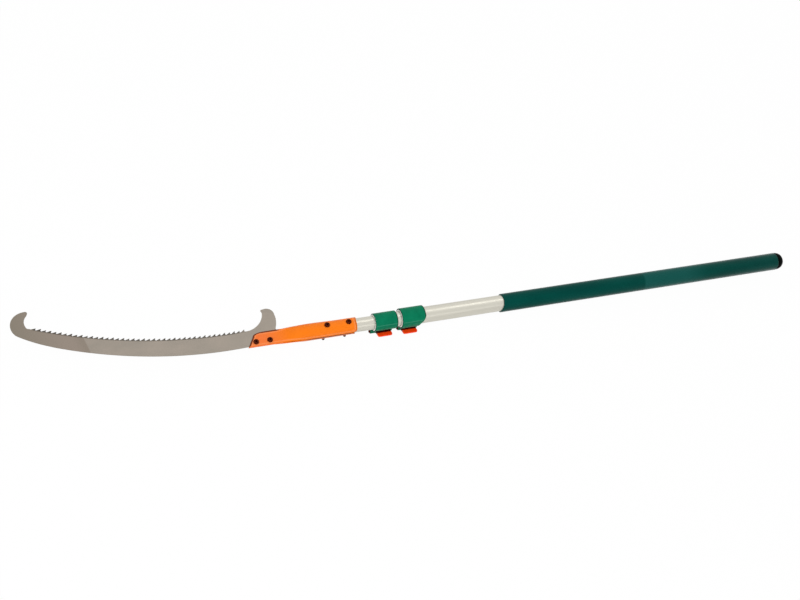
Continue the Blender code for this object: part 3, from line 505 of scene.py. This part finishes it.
red, tree, shader = new_finish("orange_red_moulding", metallic=0.0, specular=0.08)
flow = noise_on(tree, scale=150.0, detail=3.0)
red_tone = mottled(tree, flow, RED_TONES, start=0.35, end=0.65)
# Darken the neck with the painted shadow
crevice_shadowed_tone = two_tone(tree, band(tree, Y_AXIS, *CREVICE), red_tone, CREVICE_SHADOW_TONE)
lay_on(tree, shader, crevice_shadowed_tone, flow, flow, roughness=(0.32, 0.46),
       depth=0.00003, strength=0.3)
for end in ("rear", "front"):
    node = end + "_clamp_lever"
    place_piece(end + "_cam_lever", copy_of(node), end + "_lever", red, node)


# Brake shoes, guide plugs and core
# Grey nylon inside the pole: the shoe that each cam presses on its tube, the plugs
# on the rear ends of the two thinner tubes, and the core under the holder's screws.

INNER_PIECES = (("rear_clamp_shoe", "rear_shoe"), ("front_clamp_shoe", "front_shoe"),
                ("middle_guide_plug", "middle_section"), ("inner_guide_plug", "saw_head"),
                ("tube_core", "saw_head"))
GREY_TONES = ((0.210, 0.210, 0.210), (0.302, 0.302, 0.297))

grey, tree, shader = new_finish("grey_nylon", metallic=0.0, specular=0.4)
flow = noise_on(tree, scale=110.0, detail=4.0)
grey_tone = mottled(tree, flow, GREY_TONES, start=0.35, end=0.7)
lay_on(tree, shader, grey_tone, flow, flow, roughness=(0.42, 0.60), depth=0.00005, strength=0.3)
for node, body in INNER_PIECES:
    place_piece("nylon_" + node, copy_of(node), body, grey, node)


# Hinge pins and fixing screws
# A headed steel pin through each boss, and on the hidden side the small screw that
# fixes each sleeve to its tube. All four are blackened, with a brown tinge.

BLACK_TONES = ((0.042, 0.0037, 0.0015), (0.101, 0.019, 0.0073))

black_steel, tree, shader = new_finish("browned_steel", metallic=0.4, specular=0.02)
oxide = noise_on(tree, scale=420.0, detail=4.0)
black_tone = mottled(tree, oxide, BLACK_TONES, start=0.35, end=0.7)
lay_on(tree, shader, black_tone, oxide, oxide, roughness=(0.38, 0.58),
       depth=0.00003, strength=0.4)
for end, body in CLAMPS:
    for part in ("_clamp_pin", "_clamp_screw"):
        node = end + part
        place_piece("black_" + node, copy_of(node), body, black_steel, node)


# Holder
# Two halves pressed from 1.8 mm steel sheet and powder coated orange. Their flat
# cheeks hold the blade's tang, and behind them they swell to a socket for the tube.

HOLDER_FRONT = -1.1306
HOLDER_LENGTH = 0.2012
HOLDER_BORE = 0.0129
SHEET = 0.0018
HOLDER_RADIUS = HOLDER_BORE + SHEET
CHEEK_BACK = 0.0011
SPLIT = 0.00015
HOLDER_CREASE = 40.0
SKIN_COLUMNS = 200
SKIN_ROWS = 64

# Each half: its side, its width at the lower front, its lower rear corner, and how
# much painted shade it gets along the split
HALVES = (("near", 1.0, 0.0148, 0.0065, 0.0), ("far", -1.0, 0.0100, 0.0150, 1.0))

# The slanted front edge and the long corner that it ends in, and the rear edge
SLANT = 0.627
SLANT_FOOT = 0.0122
SLANT_TOP = 0.0067
CORNER_LENGTH = 0.0226
CORNER_END = 0.9999
UPPER_CORNER = 0.0140
REAR_LEAN = 0.0036

# Stretches behind the front over which the cheek changes on its way to the socket
SWELL = (0.060, 0.109)
TAPER = (0.0, 0.105)
SHOULDER = 0.0014
SHOULDER_RISE = (0.040, 0.062)
SHOULDER_FALL = (0.105, 0.170)

# Screws, and the seats pressed for their heads
POLE_SCREWS = (-0.9845, -0.9435)
BLADE_SCREWS = (-1.1162, -1.0907)
BLADE_SCREW_Y = -0.0055
SEAT_RADIUS = 0.0055
SEAT_HEIGHT = 0.0140
HOLE_RADIUS = 0.0028

# Painted shadow up to the blade's root hook, painted shade along the split, a darker rear edge
HOOK_SHADOW = (0.056, 0.066)
SPLIT_SHADE = (0.095, 0.120)
REAR_DARKENING = 0.35

# Orange, a duller one on the cheeks that is a painted reflection, a painted line of light along
# the edges, and painted shade
ORANGE_TONES = ((0.850, 0.180, 0.0046), (0.885, 0.197, 0.0090))
CHEEK_REFLECTION_TONE = (0.830, 0.178, 0.038)
CHEEK_RUN = (HOLDER_FRONT + 0.075, HOLDER_FRONT + 0.030)
LIGHT_TONE = (0.897, 0.302, 0.110)
LIGHT_INNER = (0.0060, 0.0040)
LIGHT_OUTER = (0.0022, 0.0036)
LIGHT_SHARE = 0.60
SHADE_TONE = (0.069, 0.013, 0.0046)
SHADE_REACH = (0.0034, 0.0022)
SHADE_SHARE = 0.92


def eased(value, start, end):
    """Ease from 0 at start to 1 at end."""
    share = min(max((value - start) / (end - start), 0.0), 1.0)
    return share * share * (3.0 - 2.0 * share)


def pressed_point(share, turn, lower_width, corner, split_shading):
    """A point on a half's outer skin, its distance from the edges, and its painted shade.

    share runs from the front to the rear, and turn from edge to edge. A painted shadow
    lies where the cheek meets the blade, with a little painted shade along the split
    and the rear edge a little darker.
    """
    run = share * HOLDER_LENGTH
    lower = lower_width + (HOLDER_RADIUS - lower_width) * eased(run, *TAPER)
    upper = HOLDER_RADIUS + SHOULDER * (eased(run, *SHOULDER_RISE) - eased(run, *SHOULDER_FALL))
    half_width = upper if turn > 0.0 else lower
    across = math.sin(turn) * half_width
    front = SLANT * (min(across, SLANT_TOP) + SLANT_FOOT)
    lean = SLANT
    if across > SLANT_TOP:
        bend = min((across - SLANT_TOP) / (HOLDER_RADIUS - SLANT_TOP), CORNER_END)
        front += CORNER_LENGTH * (1.0 - math.sqrt(1.0 - bend * bend))
        lean = CORNER_LENGTH / (HOLDER_RADIUS - SLANT_TOP) * bend / math.sqrt(1.0 - bend * bend)
    corner = UPPER_CORNER if turn > 0.0 else corner
    rest = max(corner - HOLDER_BORE * (math.pi / 2 - abs(turn)), 0.0)
    rear = HOLDER_LENGTH - (corner - math.sqrt(corner ** 2 - rest ** 2))
    rear += REAR_LEAN * max(math.sin(turn), 0.0)
    x = front + (rear - front) * share
    swell = eased(x, *SWELL)
    y = math.sin(turn) * (half_width - SHEET * math.sin(swell * math.pi / 2))
    y += SHEET * math.sin(swell * turn)
    z = CHEEK_BACK + (SPLIT + (HOLDER_BORE - SPLIT) * math.cos(turn) - CHEEK_BACK) * swell
    z += SHEET * math.cos(swell * turn)
    from_side = half_width - abs(across)
    from_side += (HOLDER_RADIUS * (math.pi / 2 - abs(turn)) - from_side) * swell
    from_front = (x - front) / math.hypot(1.0, lean)
    painted_shade = 1.0 - eased(x, *HOOK_SHADOW) if turn > 0.0 or from_front < from_side else 0.0
    if turn < 0.0 and from_side < from_front:
        painted_shade = eased(x, *SPLIT_SHADE) * split_shading
    if rear - x < min(from_side, from_front):
        painted_shade = REAR_DARKENING
    return (x, y, z), min(from_side, from_front, rear - x), painted_shade


def pressed_half(side, lower_width, corner, split_shading):
    """One half: a grid laid over its outer skin, pressed in at the screws and given its sheet."""
    shape = bmesh.new()
    bmesh.ops.create_grid(shape, x_segments=SKIN_COLUMNS, y_segments=SKIN_ROWS, size=1.0)
    edge_distance = shape.verts.layers.float.new("edge_distance")
    # How much painted shade each point gets
    painted_shade = shape.verts.layers.float.new("painted_shade")
    for vert in shape.verts:
        turn = min(max(vert.co.y, -1.0), 1.0) * math.pi / 2
        place, vert[edge_distance], vert[painted_shade] = pressed_point(
            (vert.co.x + 1.0) / 2, turn, lower_width, corner, split_shading)
        vert.co = (HOLDER_FRONT + place[0], place[1], place[2])
        for screw in POLE_SCREWS:
            off = math.hypot(vert.co.x - screw, vert.co.y)
            vert.co.z = min(vert.co.z, SEAT_HEIGHT + max(off - SEAT_RADIUS, 0.0))
    holes = []
    for face in shape.faces:
        middle = face.calc_center_median()
        off = [math.hypot(middle.x - x, middle.y) for x in POLE_SCREWS]
        off += [math.hypot(middle.x - x, middle.y - BLADE_SCREW_Y) for x in BLADE_SCREWS]
        if min(off) < HOLE_RADIUS:
            holes.append(face)
    bmesh.ops.delete(shape, geom=holes, context="FACES")
    bmesh.ops.recalc_face_normals(shape, faces=shape.faces)
    if sum(face.normal.z for face in shape.faces) < 0.0:
        bmesh.ops.reverse_faces(shape, faces=shape.faces)
    bmesh.ops.solidify(shape, geom=shape.faces[:], thickness=SHEET)
    for vert in shape.verts:
        reach = math.hypot(vert.co.y, vert.co.z)
        if vert.co.x > HOLDER_FRONT + SWELL[1] and reach < HOLDER_BORE:
            vert.co.yz = vert.co.yz * (HOLDER_BORE / reach)
    bmesh.ops.scale(shape, verts=shape.verts, vec=(1.0, 1.0, side))
    bmesh.ops.recalc_face_normals(shape, faces=shape.faces)
    return shape


def noted(tree, name):
    """A number that the piece's own mesh holds at each point."""
    note = tree.nodes.new("ShaderNodeAttribute")
    note.attribute_name = name
    return note.outputs["Fac"]


orange, tree, shader = new_finish("orange_powder_coat", metallic=0.0, specular=0.12, bloom=0.055)
coat = noise_on(tree, scale=28.0, detail=4.0)
peel = noise_on(tree, scale=700.0, detail=2.0)
orange_tone = mottled(tree, coat, ORANGE_TONES, start=0.3, end=0.7)
# The flat cheeks are paler with a painted reflection
reflected_cheek_tone = two_tone(tree, along(tree, X_AXIS, *CHEEK_RUN), orange_tone, CHEEK_REFLECTION_TONE)
from_edge = noted(tree, "edge_distance")
light_line = both(tree, spread(tree, from_edge, *LIGHT_OUTER),
                  spread(tree, from_edge, *LIGHT_INNER, high=LIGHT_SHARE))
lined_tone = two_tone(tree, light_line, reflected_cheek_tone, LIGHT_TONE)
# Painted shadow by the hook, painted shade along the split, and a darker rear edge
shaded_line = both(tree, spread(tree, from_edge, *SHADE_REACH, high=SHADE_SHARE),
                  noted(tree, "painted_shade"))
shaded_tone = two_tone(tree, shaded_line, lined_tone, SHADE_TONE)
lay_on(tree, shader, shaded_tone, peel, peel, roughness=(0.34, 0.46), depth=0.00004, strength=0.3)
for half, side, lower_width, corner, split_shading in HALVES:
    place_piece("pressed_" + half + "_half", pressed_half(side, lower_width, corner, split_shading),
                "saw_head", orange, "holder_" + half + "_shell",
                crease=HOLDER_CREASE)


# Saw blade
# One stamping of 1.6 mm saw steel with a claw hook at each end. Its teeth are ground
# in turn from either side, and the faces keep the fine lines of the grinding belt.

BLADE_FACE = 0.0008
BLADE_WELD = 1e-5
BLADE_CREASE = 5.0
TANG_REAR_X = 0.0590
TANG_TOP_Y = 0.0110
HOLE_SIDES = 32

# The smooth edge: an arc, by its lowest point, its radius and where it ends at the tip
SPINE_LOW = -0.0121
SPINE_RADIUS = 0.7229
SPINE_CENTRE = (-0.0367, SPINE_LOW + SPINE_RADIUS)
SPINE_TIP_X = -0.3240
SPINE_STEPS = 60

# The teeth: the arc that their points lie on, and one tooth by its turn, in teeth, and
# its height, in tooth heights
TOOTH_LOW = 0.0256
TOOTH_RADIUS = 0.7894
TOOTH_CENTRE = (-0.0302, TOOTH_LOW + TOOTH_RADIUS)
TOOTH_COUNT = 42
TOOTH_DEPTH = 0.0048
TOOTH_FORM = ((-0.88, 0.00), (-0.50, 0.45), (-0.16, 0.90), (0.00, 1.00), (-0.10, 0.25),
              (0.12, 0.00))
FIRST_TOOTH_X = -0.3474
LAST_TOOTH_X = 0.0016

# How much the grinding takes off, and what it reaches, in teeth and in tooth heights
TOOTH_GRIND = 0.0009
GROUND_TURNS = (-0.9, TOOTH_COUNT - 0.5)
GROUND_HEIGHTS = (0.1, 1.01)

# Both hooks as arcs, each by its first, middle and last point
HOOK_ARCS = {
    "tip_back": ((-0.3300, 0.0505), (-0.3570, 0.0648), (-0.3790, 0.0798)),
    "tip_crown": ((-0.3822, 0.0825), (-0.3888, 0.1010), (-0.3630, 0.1287)),
    "tip_point": ((-0.3592, 0.1290), (-0.3572, 0.1277), (-0.3567, 0.1240)),
    "tip_throat": ((-0.3590, 0.1200), (-0.3652, 0.1050), (-0.3634, 0.0955)),
    "tip_foot": ((-0.3630, 0.0946), (-0.3618, 0.0932), (-0.3590, 0.0924)),
    "root_throat": ((0.0105, 0.0222), (0.0300, 0.0330), (0.0424, 0.0565)),
    "root_point": ((0.0412, 0.0606), (0.0414, 0.0622), (0.0430, 0.0628)),
    "root_crown": ((0.0480, 0.0636), (0.0585, 0.0610), (0.0634, 0.0500)),
    "root_back": ((0.0638, 0.0430), (0.0622, 0.0320), (0.0574, 0.0190)),
}
HOOK_STEPS = 20

# Steel, a darker tip beyond a slanted line that is a painted reflection, and the dark row of
# teeth
STEEL_TONES = ((0.306, 0.272, 0.231), (0.346, 0.300, 0.254))
TIP_ACROSS = (1.0, 0.184, 0.0)
TIP_LINE = (-1.3930, -1.3948)
TIP_SHADE = (-1.5100, -1.4250)
TIP_REFLECTION_TONES = ((0.240, 0.210, 0.168), (0.292, 0.243, 0.204))
TIP_DUSK = (-1.4130, -1.3990)
DUSK_TONE = (0.264, 0.223, 0.184)
ROW_START = (-0.012, -0.004)
ROW_END = (-0.012, 0.006)
ROW_FOOT = (TOOTH_RADIUS + 0.0070, TOOTH_RADIUS + 0.0046)
ROW_FOOT_SHARE = 0.80
ROW_POINTS = (TOOTH_RADIUS - 0.0004, TOOTH_RADIUS + 0.0012)
ROW_POINTS_SHARE = 0.45
ROW_MOTTLE = (0.82, 1.0)
ROW_TONE = (0.034, 0.032, 0.027)


def verts_of(geometry):
    """The vertices in the geometry that an operator returns."""
    return [item for item in geometry if isinstance(item, bmesh.types.BMVert)]


def swept(shape, first, centre, sweep, steps):
    """Spin one point about a centre and return the first and last vertex of the arc."""
    start = shape.verts.new((*first, BLADE_FACE))
    spin = bmesh.ops.spin(shape, geom=[start], cent=(*centre, 0.0), axis=Z_AXIS, angle=sweep,
                          steps=steps)
    return start, verts_of(spin["geom_last"])[0]


def swept_through(shape, first, middle, last, steps):
    """The arc from first to last by way of middle."""
    first, middle, last = (complex(*point) for point in (first, middle, last))
    ratio = (last - first) / (middle - first)
    centre = first + (middle - first) * (ratio - abs(ratio) ** 2) / (2j * ratio.imag)
    sweep = cmath.phase((last - centre) / (first - centre))
    return swept(shape, (first.real, first.imag), (centre.real, centre.imag), sweep, steps)


def tooth_place(turn, height):
    """A point of the tooth row, by its turn about the row's centre and its height."""
    reach = TOOTH_RADIUS + TOOTH_DEPTH * (1.0 - height)
    return (TOOTH_CENTRE[0] + reach * math.sin(turn), TOOTH_CENTRE[1] - reach * math.cos(turn),
            BLADE_FACE)


def join_up(shape, chains):
    """Link the end of each chain of edges to the start of the next one, all the way round."""
    for (_, end), (start, _) in zip(chains, chains[1:] + chains[:1]):
        shape.edges.new((end, start))


blade = bmesh.new()
row_start, row_end = (math.asin((x - TOOTH_CENTRE[0]) / TOOTH_RADIUS)
                      for x in (FIRST_TOOTH_X, LAST_TOOTH_X))
pitch = (row_end - row_start) / (TOOTH_COUNT - 1)
spine_start = (0.0, SPINE_CENTRE[1] - math.sqrt(SPINE_RADIUS ** 2 - SPINE_CENTRE[0] ** 2))
spine_sweep = (math.asin((SPINE_TIP_X - SPINE_CENTRE[0]) / SPINE_RADIUS)
               - math.asin(-SPINE_CENTRE[0] / SPINE_RADIUS))
spine = swept(blade, spine_start, SPINE_CENTRE, spine_sweep, SPINE_STEPS)
hooks = {name: swept_through(blade, *points, HOOK_STEPS) for name, points in HOOK_ARCS.items()}
tooth = [blade.verts.new(tooth_place(row_start + pitch * turn, height))
         for turn, height in TOOTH_FORM]
tooth_edges = [blade.edges.new(pair) for pair in zip(tooth, tooth[1:])]
row = bmesh.ops.spin(blade, geom=tooth + tooth_edges, cent=(*TOOTH_CENTRE, 0.0), axis=Z_AXIS,
                     angle=pitch * (TOOTH_COUNT - 1), steps=TOOTH_COUNT - 1, use_duplicate=True)
row_last = verts_of(row["geom_last"])[-1]
tang_rear = blade.verts.new((TANG_REAR_X, SPINE_CENTRE[1] - SPINE_RADIUS, BLADE_FACE))
tang_top = blade.verts.new((TANG_REAR_X, TANG_TOP_Y, BLADE_FACE))
join_up(blade, [(tang_rear, tang_rear), spine, hooks["tip_back"], hooks["tip_crown"],
                hooks["tip_point"], hooks["tip_throat"], hooks["tip_foot"],
                (tooth[0], row_last), hooks["root_throat"], hooks["root_point"],
                hooks["root_crown"], hooks["root_back"], (tang_top, tang_top)])
bmesh.ops.remove_doubles(blade, verts=blade.verts, dist=BLADE_WELD)
for x in BLADE_SCREWS:
    hole = bmesh.ops.create_circle(blade, segments=HOLE_SIDES, radius=HOLE_RADIUS)["verts"]
    bmesh.ops.translate(blade, verts=hole, vec=(x - HOLDER_FRONT, BLADE_SCREW_Y, BLADE_FACE))
bmesh.ops.triangle_fill(blade, use_beauty=True, edges=blade.edges[:])
far_face = bmesh.ops.extrude_face_region(blade, geom=blade.faces[:])["geom"]
bmesh.ops.translate(blade, verts=verts_of(far_face), vec=(0.0, 0.0, -2 * BLADE_FACE))
for vert in blade.verts:
    run = vert.co.x - TOOTH_CENTRE[0], TOOTH_CENTRE[1] - vert.co.y
    turn = (math.atan2(*run) - row_start) / pitch
    height = 1.0 - (math.hypot(*run) - TOOTH_RADIUS) / TOOTH_DEPTH
    on_tooth = GROUND_TURNS[0] < turn < GROUND_TURNS[1]
    if on_tooth and GROUND_HEIGHTS[0] < height < GROUND_HEIGHTS[1]:
        ground_near = math.floor(turn - TOOTH_FORM[0][0]) % 2 == 0
        if ground_near == (vert.co.z > 0.0):
            vert.co.xy = tooth_place(row_start + pitch * turn,
                                     height - height * TOOTH_GRIND / TOOTH_DEPTH)[:2]
bmesh.ops.translate(blade, verts=blade.verts, vec=(HOLDER_FRONT, 0.0, 0.0))
bmesh.ops.recalc_face_normals(blade, faces=blade.faces)

blade_steel, tree, shader = new_finish("saw_steel", metallic=1.0, specular=0.5)
belt_lines = noise_on(tree, scale=9.0, detail=2.0, stretch=(160.0, 2.0, 2.0))
stains = noise_on(tree, scale=26.0, detail=5.0, stretch=(1.0, 1.6, 1.0))
steel_tone = mottled(tree, stains, STEEL_TONES, start=0.32, end=0.70)
# The darker tip is a painted reflection, ending at a slanted line
tip_reflection_tone = two_tone(tree, along(tree, TIP_ACROSS, *TIP_SHADE), *TIP_REFLECTION_TONES)
tip_reflection_tone = two_tone(tree, along(tree, TIP_ACROSS, *TIP_DUSK), tip_reflection_tone, DUSK_TONE)
steel_tone = two_tone(tree, along(tree, TIP_ACROSS, *TIP_LINE), steel_tone, tip_reflection_tone)

place = tree.nodes.new("ShaderNodeTexCoord")
reach = tree.nodes.new("ShaderNodeVectorMath")
reach.operation = "DISTANCE"
reach.inputs[1].default_value = (HOLDER_FRONT + TOOTH_CENTRE[0], TOOTH_CENTRE[1], 0.0)
tree.links.new(place.outputs["Object"], reach.inputs[0])
from_centre = reach.outputs["Value"]
in_row = band(tree, X_AXIS, *(HOLDER_FRONT + FIRST_TOOTH_X + step for step in ROW_START),
              *(HOLDER_FRONT + LAST_TOOTH_X + step for step in ROW_END))
on_teeth = both(tree, spread(tree, from_centre, *ROW_FOOT, high=ROW_FOOT_SHARE),
                spread(tree, from_centre, *ROW_POINTS, low=ROW_POINTS_SHARE))
tooth_marks = noise_on(tree, scale=150.0, detail=3.0)
darkened = both(tree, both(tree, on_teeth, in_row),
                spread(tree, tooth_marks, 0.35, 0.60, *ROW_MOTTLE))
steel_tone = two_tone(tree, darkened, steel_tone, ROW_TONE)
lay_on(tree, shader, steel_tone, belt_lines, belt_lines, roughness=(0.30, 0.44),
       depth=0.00001, strength=0.5)
place_piece("ground_blade", blade, "saw_head", blade_steel, "saw_blade",
            crease=BLADE_CREASE)


# Holder screws
# Four blackened pan head screws with a hexagon socket. The front two clamp the tang
# between the cheeks, and the rear two run right through socket and tube.

SHANK_RADIUS = 0.0025
TIP_CHAMFER = 0.0005
HEAD_RADIUS = 0.0050
HEAD_HEIGHT = 0.0030
HEAD_ROUNDING = 0.0013
KEY_RADIUS = 0.0018
KEY_DEPTH = 0.0016
OPENING_RADIUS = 1.5 * KEY_RADIUS
SCREW_SIDES = 48


def pan_head_screw(node):
    """A screw where the node is: shank and head spun, the hexagon socket pushed in."""
    low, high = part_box(node)
    under_head = high.z - HEAD_HEIGHT
    shape = spun([(low.z, 0.0), (low.z, SHANK_RADIUS - TIP_CHAMFER),
                  (low.z + TIP_CHAMFER, SHANK_RADIUS), (under_head, SHANK_RADIUS),
                  (under_head, HEAD_RADIUS), (high.z, HEAD_RADIUS),
                  (high.z, OPENING_RADIUS)], SCREW_SIDES)
    rim = [edge for edge in shape.edges
           if all(abs(vert.co.x - high.z) < NEAR and vert.co.yz.length > HEAD_RADIUS - NEAR
                  for vert in edge.verts)]
    round_over(shape, rim, HEAD_ROUNDING, segments=5)
    bmesh.ops.rotate(shape, verts=shape.verts, cent=(0.0, 0.0, 0.0),
                     matrix=Matrix.Rotation(-math.pi / 2, 3, "Y"))
    opening = [edge for edge in shape.edges if edge.is_boundary]
    key = bmesh.ops.create_circle(shape, segments=6, radius=KEY_RADIUS)["verts"]
    bmesh.ops.translate(shape, verts=key, vec=(0.0, 0.0, high.z))
    key_edges = [edge for edge in shape.edges if edge.verts[0] in key]
    bmesh.ops.bridge_loops(shape, edges=opening + key_edges)
    floor = verts_of(bmesh.ops.extrude_edge_only(shape, edges=key_edges)["geom"])
    bmesh.ops.translate(shape, verts=floor, vec=(0.0, 0.0, -KEY_DEPTH))
    bmesh.ops.contextual_create(shape, geom=floor)
    bmesh.ops.translate(shape, verts=shape.verts,
                        vec=((low.x + high.x) / 2, (low.y + high.y) / 2, 0.0))
    bmesh.ops.recalc_face_normals(shape, faces=shape.faces)
    return shape


for node in ("front_blade_screw", "rear_blade_screw", "front_pole_screw", "rear_pole_screw"):
    place_piece("pan_head_" + node, pan_head_screw(node), "saw_head", black_steel,
                node)


# Nuts and washers
# Zinc plated hexagon nuts on the hidden side of the holder, thin ones behind the
# cheek and full ones on washers under the socket.

NUT_FLAT = 0.0040
NUT_SLOPE = 0.6
ZINC_TONES = ((0.460, 0.470, 0.490), (0.600, 0.610, 0.630))


def chamfer_nut(shape, node):
    """Slope the corners of a nut's free face."""
    low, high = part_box(node)
    middle = (low + high) / 2
    for vert in shape.verts:
        if vert.co.z < middle.z:
            vert.co.z += NUT_SLOPE * max((vert.co - middle).xy.length - NUT_FLAT, 0.0)


zinc, tree, shader = new_finish("bright_zinc", metallic=1.0, specular=0.5)
spangle = noise_on(tree, scale=300.0, detail=3.0)
zinc_tone = mottled(tree, spangle, ZINC_TONES, start=0.35, end=0.7)
lay_on(tree, shader, zinc_tone, spangle, spangle, roughness=(0.24, 0.40),
       depth=0.00002, strength=0.3)
for end in ("front", "rear"):
    for part in ("_blade_nut", "_pole_nut", "_pole_washer"):
        node = end + part
        shape = copy_of(node)
        if part != "_pole_washer":
            chamfer_nut(shape, node)
        place_piece("zinc_" + node, shape, "saw_head", zinc, node)
